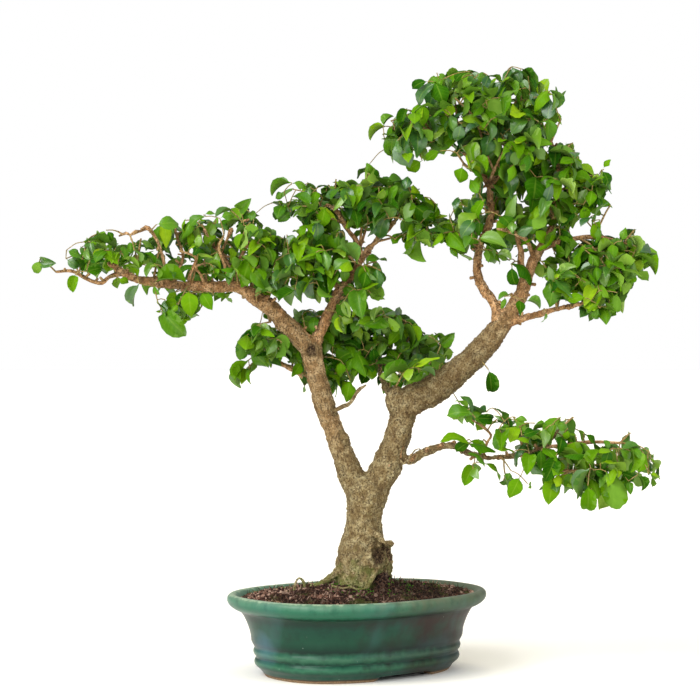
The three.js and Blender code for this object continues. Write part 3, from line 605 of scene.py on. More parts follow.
# %% A tree of Geometry Nodes that scatters one shape over a surface
def new_tree(name, inputs):
    """An empty Geometry Nodes tree with named inputs, and its input node."""
    tree = bpy.data.node_groups.new(name, "GeometryNodeTree")
    tree.interface.new_socket("geometry", in_out="OUTPUT", socket_type="NodeSocketGeometry")
    for label, kind in inputs:
        tree.interface.new_socket(label, in_out="INPUT", socket_type="NodeSocket" + kind)
    start = add(tree, "NodeGroupInput")
    return tree, start


def close_tree(tree, geometry, finish):
    """Ends a tree: copies become real faces and take their finish."""
    real = add(tree, "GeometryNodeRealizeInstances", {"Geometry": geometry})
    dressed = add(tree, "GeometryNodeSetMaterial", {"Geometry": real, "Material": finish})
    add(tree, "NodeGroupOutput", {0: dressed})


def use_tree(piece, tree, **values):
    """Runs a tree on a piece with these inputs, and keeps the result as a plain mesh."""
    modifier = piece.modifiers.new(tree.name, "NODES")
    modifier.node_group = tree
    for item in tree.interface.items_tree:
        if item.in_out == "INPUT" and item.name in values:
            modifier[item.identifier] = values[item.name]
    return take_modifiers(piece)


def named(tree, name, kind):
    return add(tree, "GeometryNodeInputNamedAttribute", {"Name": name}, data_type=kind).outputs[0]


scatter, start = new_tree("scatter", [
    ("surface", "Geometry"), ("grain", "Object"), ("finish", "Material"), ("per square metre", "Float"),
    ("seed", "Int"), ("smallest", "Float"), ("largest", "Float"), ("sunk", "Float")])
density = maths(scatter, "MULTIPLY", start.outputs["per square metre"], named(scatter, "cover", "FLOAT"))
crumbs = add(scatter, "GeometryNodeDistributePointsOnFaces", {
    "Mesh": start.outputs["surface"], "Density": density, "Seed": start.outputs["seed"]})
down = scaled(scatter, crumbs.outputs["Normal"], start.outputs["sunk"])
crumbs = add(scatter, "GeometryNodeSetPosition", {"Geometry": crumbs.outputs["Points"], "Offset": down})
tint = add(scatter, "FunctionNodeRandomValue", {"Min": 0.0, "Max": 1.0, "Seed": 11})
crumbs = add(scatter, "GeometryNodeStoreNamedAttribute", {"Geometry": crumbs, "Name": "tint", "Value": tint})
turn = add(scatter, "FunctionNodeRandomValue", {
    "Min": (-math.pi,) * 3, "Max": (math.pi,) * 3, "Seed": 5}, data_type="FLOAT_VECTOR")
size = add(scatter, "FunctionNodeRandomValue", {
    "Min": start.outputs["smallest"], "Max": start.outputs["largest"], "Seed": 7})
shape = add(scatter, "GeometryNodeObjectInfo", {"Object": start.outputs["grain"]}).outputs["Geometry"]
grains = add(scatter, "GeometryNodeInstanceOnPoints", {
    "Points": crumbs, "Instance": shape, "Scale": size,
    "Rotation": add(scatter, "FunctionNodeEulerToRotation", {"Euler": turn})})
close_tree(scatter, grains, start.outputs["finish"])


# %% Crumbs, fibres and moss on the soil
def grain_shape(name, stretch, rough, seed):
    """A lumpy body of twenty faces, a millimetre in radius before it is stretched."""
    rng = random.Random(seed)
    ball = bmesh.new()
    bmesh.ops.create_icosphere(ball, subdivisions=1, radius=1)
    for vertex in ball.verts:
        vertex.co *= 1 + rough * (rng.random() - 0.5)
        vertex.co = Vector([part * way for part, way in zip(vertex.co, stretch)])
        # Long grains are bent a little.
        vertex.co.z += 0.02 * vertex.co.x ** 2
    mesh = bpy.data.meshes.new(name)
    ball.to_mesh(mesh)
    ball.free()
    mesh.transform(Matrix.Scale(MM, 4))
    mesh.shade_smooth()
    return new_object(name, mesh)


def cover(mesh, rule):
    """Stores how thickly things lie at each point of a mesh, from a rule on its place in millimetres."""
    store(mesh, "cover", [rule(vertex.co / MM) for vertex in mesh.vertices])


# Patches of moss: their middle from the pot's middle, radius, and how full they are.
MOSS_PATCHES = [(8, 0, 62, 1), (7, -41, 9, 1.8), (54, 56, 24, 1.3), (-72, 36, 22, 1.2)]


def is_top(place):
    return 1.0 if place.z > SOIL_TOP[0][1] - 3 else 0.0


def mossy(place):
    """Moss grows round the trunk's foot, and in three patches of its own."""
    share = max(1.1 * patch - math.hypot(place.x - POT_X - x, place.y - POT_Y - y) / radius
                for x, y, radius, patch in MOSS_PATCHES)
    # Noise leaves bare spots in it, except where it is full.
    spots = noise.noise(place / 14)
    return is_top(place) * max(0.0, share) * (1.0 if spots > 0.02 or share > 1.15 else 0.0)


def join(piece, *others):
    """Melts other pieces into one piece. Their finishes and attributes come along."""
    with bpy.context.temp_override(active_object=piece, selected_editable_objects=[piece, *others]):
        bpy.ops.object.join()


DRESSINGS = [
    # name, where, finish, pieces per square metre, seed, smallest, largest, sunk (mm), stretch, roughness
    ("crumbs", is_top, fibrous_soil, 48000, 3, 0.5, 1.5, -0.2, (1, 0.8, 0.65), 0.6),
    ("lumps", is_top, fibrous_soil, 16000, 8, 1.6, 3.2, 0.4, (1, 0.85, 0.6), 0.6),
    ("fibres", is_top, fibrous_soil, 22000, 14, 0.8, 1.7, 0.1, (4.2, 0.28, 0.28), 0.3),
    ("moss", mossy, cushion_moss, 130000, 21, 0.5, 1.3, 0, (1, 1, 0.7), 0.7),
]
soil = new_object("soil_with_crumbs", soil_mesh.copy())
soil.data.materials.append(fibrous_soil)
for name, rule, finish, density, seed, smallest, largest, sunk, stretch, rough in DRESSINGS:
    ground = new_object(name, soil_mesh.copy())
    cover(ground.data, rule)
    shape = grain_shape(name + "_shape", stretch, rough, seed)
    made = use_tree(ground, scatter, **{
        "grain": shape, "finish": finish, "per square metre": float(density), "seed": seed,
        "smallest": smallest, "largest": largest, "sunk": -sunk * MM})
    bpy.data.objects.remove(shape)
    print(name, len(made.polygons), "faces")
    join(soil, ground)
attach(soil, "root")
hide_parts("soil")

# %% [markdown]
# ## The wood
#
# The trunk forks low into two limbs, and both carry side branches. Each limb is a row of places with its
# radius, read from the photograph. Thick limbs flow into one another where they meet, as grown wood does, so
# their tubes are melted together with a voxel remesh, which no joined tubes or boolean would blend. Thin
# branches keep their own tubes, since voxels would eat them.

# %% Where the limbs run: x, depth and z as they are seen, and the radius
LIMBS = {
    "trunk": [
        (4, 0, 58, 30), (4, 0, 74, 29.5), (4, 0, 86, 28.4), (5, 0, 98, 27.8), (6, 0, 111, 27.6),
        (5.5, 0, 119, 26.4), (4.5, 0, 126, 23.8), (4.8, 0, 131, 21.6), (5.2, 0, 141, 18.2),
        (5.3, 0, 150, 17.4), (6, 0, 160, 17.8), (7.2, 0, 170, 19.6), (8, 0, 182, 21.6), (8, 0, 190, 17.5),
    ],
    "left_limb": [
        (6, 0, 168, 14), (-4, 0, 190, 13.4), (-10, 0, 202, 12.6), (-14, 1, 213, 11.8),
        (-19, 1, 227, 11), (-26, 2, 245, 9.8), (-32, 2, 260, 10.2), (-36, 2, 274, 10.4),
        (-40.5, 1, 291, 9.8), (-45, 0, 309, 9.4), (-47, -1, 322, 10.4), (-49, -2, 330, 7),
    ],
    "right_limb": [
        (10.5, 0, 168, 14), (20.5, 0, 190, 14), (29, 0, 204, 14.6), (34, 0, 219, 14.2), (39, 0, 232, 13),
        (42.5, -1, 246, 12.6), (46, -2, 260, 13.4), (51, -3, 270, 14.6), (60, -4, 274, 15),
        (75, -5, 281, 14.4), (102, -8, 301, 13), (124, -10, 323, 11.6), (137, -11, 338, 10.8),
        (148, -12, 352, 9),
    ],
    "left_branch": [
        (-47, -1, 322, 9.6), (-56, -4, 331, 9.6), (-65, -6, 340, 9.4), (-76, -8, 350, 8.8),
        (-90, -11, 366, 8), (-101, -13, 372, 7.2), (-111, -15, 379, 6.2), (-122, -17, 384, 6),
        (-147, -20, 384, 5.6), (-167, -22, 385, 5.1), (-185, -24, 386, 4.7), (-205, -27, 389, 4.4),
        (-221, -29, 392, 4.1), (-235, -31, 398, 3.9), (-243, -32, 404, 3.6), (-250, -33, 408, 2.6),
    ],
    "left_tip": [
        (-236, -31, 398, 3), (-249, -34, 394, 2.2), (-256, -35, 388, 2), (-267, -36, 390, 1.9),
        (-276, -36, 395, 1.8), (-287, -36, 400, 1.7), (-302, -37, 399, 1.5),
    ],
    "middle_branch": [
        (-47, -1, 318, 7), (-37, 2, 341, 6), (-25, 4, 366, 5.2), (-19, 5, 380, 4.6), (-6, 6, 396, 4.2),
        (1, 7, 408, 3.9), (9, 8, 420, 3.5), (17, 8, 429, 3.2), (27, 9, 440, 3), (37, 9, 450, 2.6),
    ],
    "middle_side": [
        (4, 7, 415, 3), (-2, 4, 431, 2.6), (-8, 1, 438, 2.4), (-14, -2, 447, 2.3), (-21, -5, 459, 2.1),
        (-29, -8, 465, 1.9), (-38, -9, 467, 1.7),
    ],
    "back_left_branch": [
        (-36, 3, 268, 6), (-40, 24, 278, 4.6), (-48, 42, 290, 3.6), (-66, 54, 302, 2.9),
        (-96, 58, 316, 2.2),
    ],
    "back_right_branch": [
        (46, 0, 262, 7), (36, 22, 274, 4.8), (26, 42, 288, 3.8), (24, 56, 304, 3), (48, 62, 324, 2.2),
    ],
    "crown_left_branch": [
        (141, -11, 346, 7.4), (138, -9, 365, 5.4), (130, -6, 376, 5.2), (124, -4, 385, 5),
        (120, -2, 394, 4.8), (119, 0, 405, 4.6), (120, 1, 417, 4.4), (123, 2, 429, 4.2),
        (127, 3, 437, 4.1), (132, 3, 449, 3.9), (133, 3, 462, 3.7), (132, 3, 471, 3.5),
        (131, 3, 483, 3.3), (127, 2, 493, 3.1), (116, 0, 508, 2.7), (98, -2, 524, 2.3),
        (72, -4, 540, 1.9),
    ],
    "crown_top_branch": [
        (131, 3, 478, 3.4), (140, 5, 500, 2.9), (148, 6, 524, 2.5), (146, 6, 552, 2),
        (138, 4, 572, 1.6),
    ],
    "crown_right_branch": [
        (148, -12, 350, 9), (156, -12, 364, 7.6), (164, -11, 377, 6.8), (169, -10, 395, 6),
        (176, -9, 412, 5.2), (186, -8, 428, 4.3), (196, -7, 452, 3.4), (202, -7, 484, 2.7),
        (198, -8, 512, 2.2), (192, -9, 532, 1.7),
    ],
    "crown_side_branch": [
        (182, -9, 422, 3.6), (206, -14, 430, 2.7), (236, -18, 434, 2.2), (266, -20, 428, 1.7),
    ],
    "crown_inner_stem": [
        (168, -10, 392, 4), (163, -16, 406, 3.6), (163, -19, 420, 3.2), (158, -22, 438, 2.4),
    ],
    "low_crown_branch": [
        (146, -12, 347, 6), (158, -14, 350, 4), (170, -17, 354, 3.6), (185, -21, 358, 3.2),
        (199, -24, 362, 2.8), (214, -27, 365, 2.4), (226, -29, 368, 1.9),
    ],
    "low_right_branch": [
        (34, 0, 216, 7), (46, -4, 213, 5), (54, -7, 212, 4.4), (68, -11, 219, 4), (86, -15, 225, 3.6),
        (98, -17, 224, 3.4), (111, -19, 218, 3.2), (125, -21, 214, 3), (146, -24, 214, 2.6),
        (166, -27, 218, 2.3), (186, -30, 224, 2), (194, -31, 233, 1.8), (203, -32, 244, 1.5),
    ],
    "low_right_outer": [
        (186, -30, 224, 2), (208, -31, 226, 1.9), (234, -31, 229, 1.7), (262, -30, 228, 1.4),
    ],
    "low_right_lower": [
        (160, -26, 217, 2.2), (182, -29, 209, 2), (202, -31, 201, 1.8), (226, -33, 200, 1.4),
    ],
}
# Short stubs, knobs and leafless twigs.
BARE_TWIGS = {
    "left_limb_twig": [
        (-30, 2, 256, 2.6), (-20, -6, 262, 1.6), (-8, -10, 268, 1.4), (0, -12, 280, 1.3),
        (8, -13, 286, 1),
    ],
    "trunk_stub": [(18, -12, 122, 6), (27, -14, 125.5, 4.4), (34, -15, 127.5, 3.4)],
    "limb_knob": [(-20, 0, 236, 6), (-11, -5, 233, 5)],
    "elbow_lip": [(42, -2, 259, 9), (37.5, -6, 271, 10.5), (37, -8, 283, 6)],
    "elbow_burl": [(54, -6, 262, 9), (58, -14, 264, 6.5)],
    "dead_twig": [
        (-190, -25, 387, 2), (-193, -42, 404, 1.8), (-199, -50, 426, 1.6), (-207, -53, 440, 1.7),
        (-212, -53, 443, 2.6), (-217, -54, 440, 1.4), (-222, -54, 439, 2.3), (-228, -54, 436, 1.2),
        (-232, -55, 438, 1.8), (-239, -55, 435, 0.8),
    ],
    "inner_twig": [
        (-126, -18, 386, 3.2), (-129, -15, 403, 2.7), (-137, -12, 418, 2.4), (-144, -10, 424, 1.8),
    ],
    "inner_side_twig": [(-127, -16, 396, 2), (-119, -12, 411, 1.8), (-108, -9, 430, 1.5)],
    "upright_twig": [
        (-185, -24, 386, 2.2), (-179, -22, 400, 1.9), (-175, -18, 416, 1.7), (-181, -14, 434, 1.5),
        (-184, -10, 447, 1.3),
    ],
    "low_twig": [
        (125, -21, 214, 2), (129, -19, 228, 1.6), (133, -18, 236, 1.5), (124, -16, 245, 1.3),
        (112, -14, 252, 1.2),
    ],
    "front_twig_1": [
        (-169, -22, 388, 2), (-168, -34, 396, 1.9), (-162, -44, 413, 1.6), (-178, -48, 420, 1.2),
    ],
    "front_twig_2": [
        (-153, -20, 386, 1.9), (-157, -36, 396, 1.7), (-162, -44, 404, 1.5), (-152, -48, 408, 1.1),
    ],
    "front_twig_3": [(-127, -18, 386, 2), (-132, -36, 402, 1.8), (-139, -44, 423, 1.4), (-134, -46, 436, 1)],
    "knot_1": [
        (-144, -10, 424, 1.3), (-150, -22, 434, 1.4), (-153.3, -27, 440.3, 2.4), (-154, -28, 443, 1.2),
    ],
    "knot_2": [(-137, -12, 418, 1.5), (-131, -21, 431, 1.3), (-127, -27, 440.3, 2.4), (-126, -28, 443, 1.2)],
    "knot_3": [(-108, -9, 430, 1.4), (-112, -19, 440, 1.5), (-115, -28, 448, 2.2), (-108, -30, 452, 1.2)],
    "crown_front_1": [(131, 2, 488, 2.2), (136, -22, 500, 1.7), (141, -34, 511, 1.3), (147, -38, 522, 0.9)],
    "crown_front_2": [(131, 2, 486, 2), (121, -24, 496, 1.5), (108, -38, 505, 1.2), (99, -42, 518, 0.9)],
    "crown_front_3": [(136, -22, 500, 1.5), (128, -16, 520, 1.3), (117, -36, 552, 1.2), (97, -42, 573, 0.9)],
    "crown_front_4": [(176, -9, 412, 2.6), (168, -30, 431, 2.2), (150, -44, 440, 1.8), (139, -50, 442, 1.2)],
    "trunk_ridge": [
        (14, -14, 142, 3), (19, -21, 136, 3.2), (26, -24, 127, 3), (31, -23, 118, 2.6), (33, -20, 108, 2),
    ],
    "dry_fibre": [
        (35, -12, 218, 0.9), (42, -16, 212, 0.8), (45, -17, 207, 0.8), (50, -17, 211, 0.8),
        (57, -17, 221, 0.7), (62, -17, 222, 0.6),
    ],
}
ROOTS = {
    "left_root": [
        (-12, -8, 103, 9), (-21, -12, 98, 4.4), (-33, -15, 90, 2.8), (-45, -18, 84, 2.2), (-56, -20, 80, 2),
    ],
    "arch_root": [
        (-64, -20, 78, 1.3), (-62.5, -20, 88, 1.3), (-59, -20, 93, 1.2), (-55, -20, 90, 1.2),
        (-52.5, -20, 82, 1.3),
    ],
    "front_root": [(-6, -12, 96, 11), (-14, -22, 84, 6.5), (-19, -31, 77, 3.5)],
    "right_root": [(18, -6, 96, 11), (28, -12, 84, 7), (34, -16, 74, 4)],
    "back_root": [(4, 16, 94, 12), (0, 28, 84, 9), (-4, 38, 74, 5)],
    "pale_root": [
        (18, -22, 103, 3), (15, -31, 95, 2.6), (12, -37, 88, 2.2), (8, -40, 82, 1.9), (4, -43, 77, 1.6),
    ],
    "thread_root": [
        (-26, -34, 85, 1.5), (-15, -42, 82.6, 1.5), (-8, -44, 84, 1.4), (0, -45, 81.4, 1.4),
        (8, -44, 82.8, 1.4),
    ],
    "side_thread": [(8, -38, 87, 1.3), (6, -42, 82, 1.3), (3, -46, 78, 1.2)],
}
# Old cuts that have rotted to hollows: the middle, and half the width, depth and height.
OLD_CUTS = [((24.8, -24.5, 115), (9.4, 8, 9.8)), ((-46, -12, 321), (5, 4.5, 6)), ((30, -6, 284), (5, 6, 5)),
            ((38, -16, 128), (2.5, 3, 3))]
# Grooves in the bark of the trunk, with their depth and half width.
GROOVES = [
    ([(15, -24, 131), (8, -27, 120), (-2, -29, 104), (-8, -30, 90), (-11, -32, 78)], 2.4, 2.6),
    ([(-12, -20, 140), (-16, -22, 118), (-19, -24, 98)], 1.2, 2.2),
    ([(4, -18, 158), (2, -22, 138), (7, -25, 122)], 1.0, 1.8),
    ([(30, -16, 116), (27, -22, 100), (24, -27, 84)], 1.4, 2.2),
]
print(len(LIMBS), "limbs,", len(BARE_TWIGS), "twigs and", len(ROOTS), "roots")


# %% Tubes
PATH_STEP = 4


def real_path(points):
    """A smooth curve of (x, y, z, radius) in the model's frame."""
    return smooth_path([[*seen(point), point[3]] for point in points], PATH_STEP)


def tube(path, sides, ribs):
    """Points and faces of a bar along a path. It is round but for its ribs, a share of its radius."""
    ahead = np.gradient(path[:, :3], axis=0)
    ahead /= np.linalg.norm(ahead, axis=1)[:, None]
    # The first ring's side may point anywhere across the path.
    side = np.cross(ahead[0], (0.31, 0.87, 0.38))
    angles = np.linspace(0, 2 * math.pi, sides, endpoint=False)
    rings = []
    for number, (row, way) in enumerate(zip(path, ahead)):
        side = side - way * side.dot(way)
        side /= np.linalg.norm(side)
        reach = row[3] * (1 + ribs * np.cos(3 * angles + 0.05 * number) + 0.5 * ribs * np.cos(5 * angles + 1))
        ring = np.outer(reach * np.cos(angles), side) + np.outer(reach * np.sin(angles), np.cross(way, side))
        rings.append(row[:3] + ring)
    start = path[0, :3] - 0.5 * ahead[0] * path[0, 3]
    return loft(rings, start, path[-1, :3] + 0.6 * ahead[-1] * path[-1, 3])


def pile(shapes):
    """One list of points and faces from several."""
    points, faces, count = [], [], 0
    for some_points, some_faces in shapes:
        points.append(some_points)
        faces += [tuple(i + count for i in face) for face in some_faces]
        count += len(some_points)
    return np.vstack(points), faces


# Limbs of this radius and more are melted together, out of voxels of this size.
THICK_FROM = 5.0
VOXEL = 1.25
THICK_SIDES, THIN_SIDES = 28, 10
limb_paths = {name: real_path(points) for name, points in {**LIMBS, **BARE_TWIGS, **ROOTS}.items()}
KNOBS = ("trunk_stub", "trunk_ridge", "limb_knob", "elbow_lip", "elbow_burl")
# Short spurs, where old shoots were cut off, stand on the thinner limbs.
SPURRED = (
    "left_branch", "left_tip", "middle_branch", "middle_side", "crown_left_branch", "crown_right_branch",
    "low_crown_branch", "low_right_branch", "inner_twig", "upright_twig", "dead_twig")
rng = random.Random(17)
for name in SPURRED:
    path = limb_paths[name]
    for number in range(3, len(path) - 1, 3):
        base, reach = path[number, :3], path[number, 3]
        way = np.array([rng.uniform(-1, 1), rng.uniform(-1, 0.3), rng.uniform(-0.4, 1)])
        way /= np.linalg.norm(way)
        steps = (0.4 * reach, reach + 1.5, reach + rng.uniform(2.5, 6))
        thin_end = min(1.5, 0.3 * reach + 0.6)
        limb_paths[f"{name}_spur_{number}"] = np.array([
            [*(base + step * way), thin_end * share] for step, share in zip(steps, (1.3, 1, 1.1))])
thick = [name for name, path in limb_paths.items() if path[0, 3] >= THICK_FROM or name in KNOBS]
wood_mesh = new_mesh("trunk", *pile(
    tube(limb_paths[name], THICK_SIDES, 0.05 if name == "trunk" else 0.03) for name in thick))
wood = new_object("trunk_and_limbs", wood_mesh)
melt = wood.modifiers.new("melt the limbs together", "REMESH")
melt.mode, melt.voxel_size = "VOXEL", VOXEL * MM
soften = wood.modifiers.new("soften the joints", "SMOOTH")
soften.factor, soften.iterations = 0.5, 6
take_modifiers(wood)
print("trunk and limbs:", len(wood.data.polygons), "faces")

# %% Hollows, grooves and what the bark needs to know about its place
count = len(wood.data.vertices)
flat = np.empty(count * 3)
wood.data.vertices.foreach_get("co", flat)
points = flat.reshape(-1, 3) / MM
hollow_and_crease_shade = np.zeros(count)
# In half widths of the cut: how far its edge and the ring of healing wood are out, and how wide the ring is.
CUT_EDGE, HEALING_RING, RING_WIDTH = 1.25, 1.35, 0.22
for middle, half in OLD_CUTS:
    away = np.linalg.norm((points - seen(middle)) / np.array(half), axis=1)
    for i in np.flatnonzero(away < 2.5):
        away[i] += 0.3 * noise.noise(Vector(points[i] / 3.5))
    inside = np.clip(CUT_EDGE - away, 0, 1)
    points[:, 1] += 1.1 * half[1] * inside ** 0.7
    hollow_and_crease_shade = np.maximum(hollow_and_crease_shade, np.clip(3.2 * inside, 0, 1))
    # Healing wood stands up in a ring round the cut.
    ring = np.exp(-((away - HEALING_RING) / RING_WIDTH) ** 2)
    points[:, 1] -= 0.24 * half[0] * ring * (points[:, 1] < seen(middle)[1] + 4)
for places, depth, half_width in GROOVES:
    line = smooth_path([seen(place) for place in places], 1.5)
    ways = kdtree.KDTree(len(line))
    for i, place in enumerate(line):
        ways.insert(place, i)
    ways.balance()
    for i in np.flatnonzero(points[:, 1] < POT_Y - 8):
        place = points[i].copy()
        away = ways.find(place)[2]
        if away < 4 * half_width:
            # The bark sinks in along the line, and stands up a little on both sides of it.
            points[i, 1] += depth * math.exp(-(away / half_width) ** 2)
            points[i, 1] -= 0.35 * depth * math.exp(-((away - 2 * half_width) / half_width) ** 2)
            # Along the line the bark is also painted darker: painted shade in the crease.
            hollow_and_crease_shade[i] = max(hollow_and_crease_shade[i], 0.1 * depth * math.exp(-(away / (0.6 * half_width)) ** 2))

# The rows of all limbs: x, y, z, radius, the limb's number and how far along it they are.
skeleton = np.vstack([
    np.column_stack((path, np.full(len(path), number), np.arange(len(path)) * PATH_STEP))
    for number, path in enumerate(limb_paths.values())])
lookup = kdtree.KDTree(len(skeleton))
for i, row in enumerate(skeleton):
    lookup.insert(row[:3], i)
lookup.balance()


def nearest_wood(place):
    """The row of the skeleton whose limb's surface is nearest to a place."""
    return min((skeleton[i] for _, i, _ in lookup.find_n(place, 8)),
               key=lambda row: np.linalg.norm(row[:3] - place) - 0.6 * row[3])


# These count as old wood, however thin they are.
GREY_LIMBS = ("low_right_branch", "dry_fibre", "left_limb_twig", "back_right_branch")
OLD_WOOD = [number for number, name in enumerate(limb_paths) if name in KNOBS + GREY_LIMBS or name in ROOTS]


def dress_wood(piece, points, hollow_and_crease_shade):
    """Stores each point's girth, its hollows and the painted shade in its grooves, and its place along its
    limb.
    """
    rows = np.array([nearest_wood(place) for place in points])
    off = points - rows[:, :3]
    places = np.column_stack((off[:, 0] + 40 * rows[:, 4], off[:, 1], rows[:, 5] + 0.5 * off[:, 2]))
    store(piece.data, "girth", np.maximum(rows[:, 3], 12.0 * np.isin(rows[:, 4], OLD_WOOD)))
    store(piece.data, "hollow_and_crease_shade", hollow_and_crease_shade)
    store(piece.data, "limb_place", places, "FLOAT_VECTOR")


wood.data.vertices.foreach_set("co", (points * MM).ravel())
dress_wood(wood, points, hollow_and_crease_shade)
print("deepest hollow", round(float(hollow_and_crease_shade.max()), 2))

# %% The relief of the bark, as a tree of Geometry Nodes
# Real relief catches the light on the outline as well, which a bump alone can't do.
relief, start = new_tree("bark relief", [
    ("surface", "Geometry"), ("finish", "Material"), ("plate height", "Float"), ("crack depth", "Float"),
    ("lump height", "Float")])
place = scaled(relief, add(relief, "GeometryNodeInputPosition"), 1 / MM)
lumps = add(relief, "ShaderNodeTexNoise", {"Vector": place, "Scale": 1 / 17, "Detail": 2.0}, normalize=False)
plates = add(relief, "ShaderNodeTexNoise", {
    "Vector": place, "Scale": 1 / 5.5, "Detail": 3.0, "Distortion": 0.6}, normalize=False)
stretched = vectors(relief, "MULTIPLY", named(relief, "limb_place", "FLOAT_VECTOR"), (1 / 5, 1 / 5, 1 / 16))
cracks = add(relief, "ShaderNodeTexNoise", {
    "Vector": stretched, "Scale": 1.0, "Detail": 3.0, "Distortion": 0.8},
    noise_type="RIDGED_MULTIFRACTAL", normalize=True)
girth = spread(relief, named(relief, "girth", "FLOAT"), 2, 12, 0.55, 1)
knots = add(relief, "ShaderNodeTexNoise", {"Vector": place, "Scale": 1 / 2.8, "Detail": 2.0}, normalize=False)
plates = maths(relief, "MULTIPLY_ADD", knots, 0.7, plates)
rough = maths(relief, "MULTIPLY", lumps, start.outputs["lump height"])
rough = maths(relief, "MULTIPLY_ADD", plates, start.outputs["plate height"], rough)
depth = maths(relief, "MULTIPLY", cracks, start.outputs["crack depth"])
rough = maths(relief, "SUBTRACT", rough, depth)
rough = maths(relief, "MULTIPLY", rough, girth)
offset = scaled(relief, add(relief, "GeometryNodeInputNormal"), rough)
moved = add(relief, "GeometryNodeSetPosition", {"Geometry": start.outputs["surface"], "Offset": offset})
close_tree(relief, moved, start.outputs["finish"])

# %% The finish: privet bark
# Privet bark is thin, tan to grey, and satin where it is young. Old wood turns grey in patches and greenish
# near the soil, small dark specks and pale corky dots are spread over it, and young twigs are reddish.
bark, tree, place = new_material("thin tan and grey privet bark")
girth = stored(tree, "girth")
sunk = stored(tree, "hollow_and_crease_shade")
patches = clouds_of(tree, place, 9, 5, roughness=0.65)
old = ramp(tree, patches, [
    (0.3, "#6B5839"), (0.43, "#89754D"), (0.54, "#A49369"), (0.67, "#BEB085"), (0.8, "#D4CBAB")])
young = ramp(tree, patches, [(0.3, "#885E39"), (0.48, "#C49463"), (0.72, "#F9CE9E")])
young = lay(tree, young, "#86863F", girth, 1.7, 0.7, 0.6)
age = spread(tree, girth, 6, 12)
colour = blend(tree, age, young, old)
# Up in the limbs the bark is browner than on the trunk.
level = parts(tree, place)["Z"]
up = maths(tree, "MULTIPLY", spread(tree, level, 0.17, 0.25, 0, 0.3), age)
colour = blend(tree, up, colour, "#6A5032")
streaks = add(tree, "ShaderNodeMapping", {
    "Vector": stored(tree, "limb_place", "Vector"), "Scale": (1 / 1.8, 1 / 1.8, 1 / 6)})
streaks = add(tree, "ShaderNodeTexNoise", {"Vector": streaks, "Scale": 1.0, "Detail": 5.0, "Roughness": 0.6})
colour = lay(tree, colour, "#4A3A28", streaks, 0.49, 0.36, 0.75)
# Old bark crumbles in small brown flecks and carries dark specks, here more and there fewer.
grit = clouds_of(tree, place, 1.7, 4, roughness=0.7)
worn = spread(tree, age, 0, 1, 0.75, 1)
crumbly = maths(tree, "MULTIPLY", spread(tree, grit, 0.5, 0.4, 0, 0.85), worn)
colour = blend(tree, crumbly, colour, "#4E3820")
wander = add(tree, "ShaderNodeMix", {
    "Factor": 0.002, "A": place, "B": grit.outputs["Color"]}, data_type="VECTOR")
speck = spread(tree, cells_of(tree, wander, 2.9), 0.3, 0.18)
often = spread(tree, clouds_of(tree, place, 9, 3), 0.35, 0.65, 0.1, 0.9)
speck = maths(tree, "MULTIPLY", maths(tree, "MULTIPLY", speck, often), worn)
colour = blend(tree, speck, colour, "#3F2F20")
# Pale corky dots.
colour = lay(tree, colour, "#CDB996", cells_of(tree, place, 5.2), 0.14, 0.08, 0.6)
# Algae, thickest near the soil and in the shade under the limbs.
facing = parts(tree, add(tree, "ShaderNodeNewGeometry").outputs["Normal"])["Z"]
damp = maths(tree, "ADD", spread(tree, level, 0.135, 0.08, 0, 0.34), spread(tree, facing, 0, -1, 0, 0.16))
damp = maths(tree, "ADD", damp, clouds_of(tree, place, 16, 6, roughness=0.75))
colour = lay(tree, colour, "#5E7A2E", damp, 0.66, 0.95, 0.7)
# The old cuts are dark at their edges, and brown and crumbly where they have rotted. The grooves are painted
# darker along their lines, as painted shade in the creases.
colour = lay(tree, colour, "#463D22", sunk, 0.04, 0.34, 0.5)
rot = ramp(tree, grit, [(0.36, "#1C130C"), (0.5, "#4D3B28"), (0.62, "#8C7656")])
colour = lay(tree, colour, rot, sunk, 0.4, 0.9)
height = maths(tree, "MULTIPLY_ADD", speck, -0.5, maths(tree, "ADD", streaks, grit))
satin = spread(tree, girth, 1, 12, 0.5, 0.8)
close_finish(tree, colour, satin, (height, 1, 0.0018), specular=0.2)

# %% Relief on the trunk, and the thin branches
use_tree(wood, relief, **{
    "finish": bark, "plate height": 1.1 * MM, "crack depth": 1.1 * MM, "lump height": 1.6 * MM})
thin = [name for name in limb_paths if name not in thick]
points, faces = pile(tube(limb_paths[name], THIN_SIDES, 0.04) for name in thin)
branches = new_object("fine_branches", new_mesh("fine_branches", points, faces))
dress_wood(branches, points, np.zeros(len(points)))
use_tree(branches, relief, **{
    "finish": bark, "plate height": 0.5 * MM, "crack depth": 0.4 * MM, "lump height": 1.0 * MM})
for piece in (wood, branches):
    piece.data.shade_smooth()
    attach(piece, "root")
    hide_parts("trunk_and_branches")
    print(piece.name, len(piece.data.polygons), "faces")

# %% [markdown]
# ## Twigs and leaves
#
# The leaves stand in opposite pairs on thin twigs, each pair turned across the last one. Those in front,
# and those on the outline, are placed one by one as they are seen: where each starts and ends, how wide it
# looks and which side of it shows. Behind them the pads are filled by twigs that start at the nearest wood,
# so nothing hangs in the air. Twigs and leaves repeat by the hundred, so both are made by Geometry Nodes
# from points.

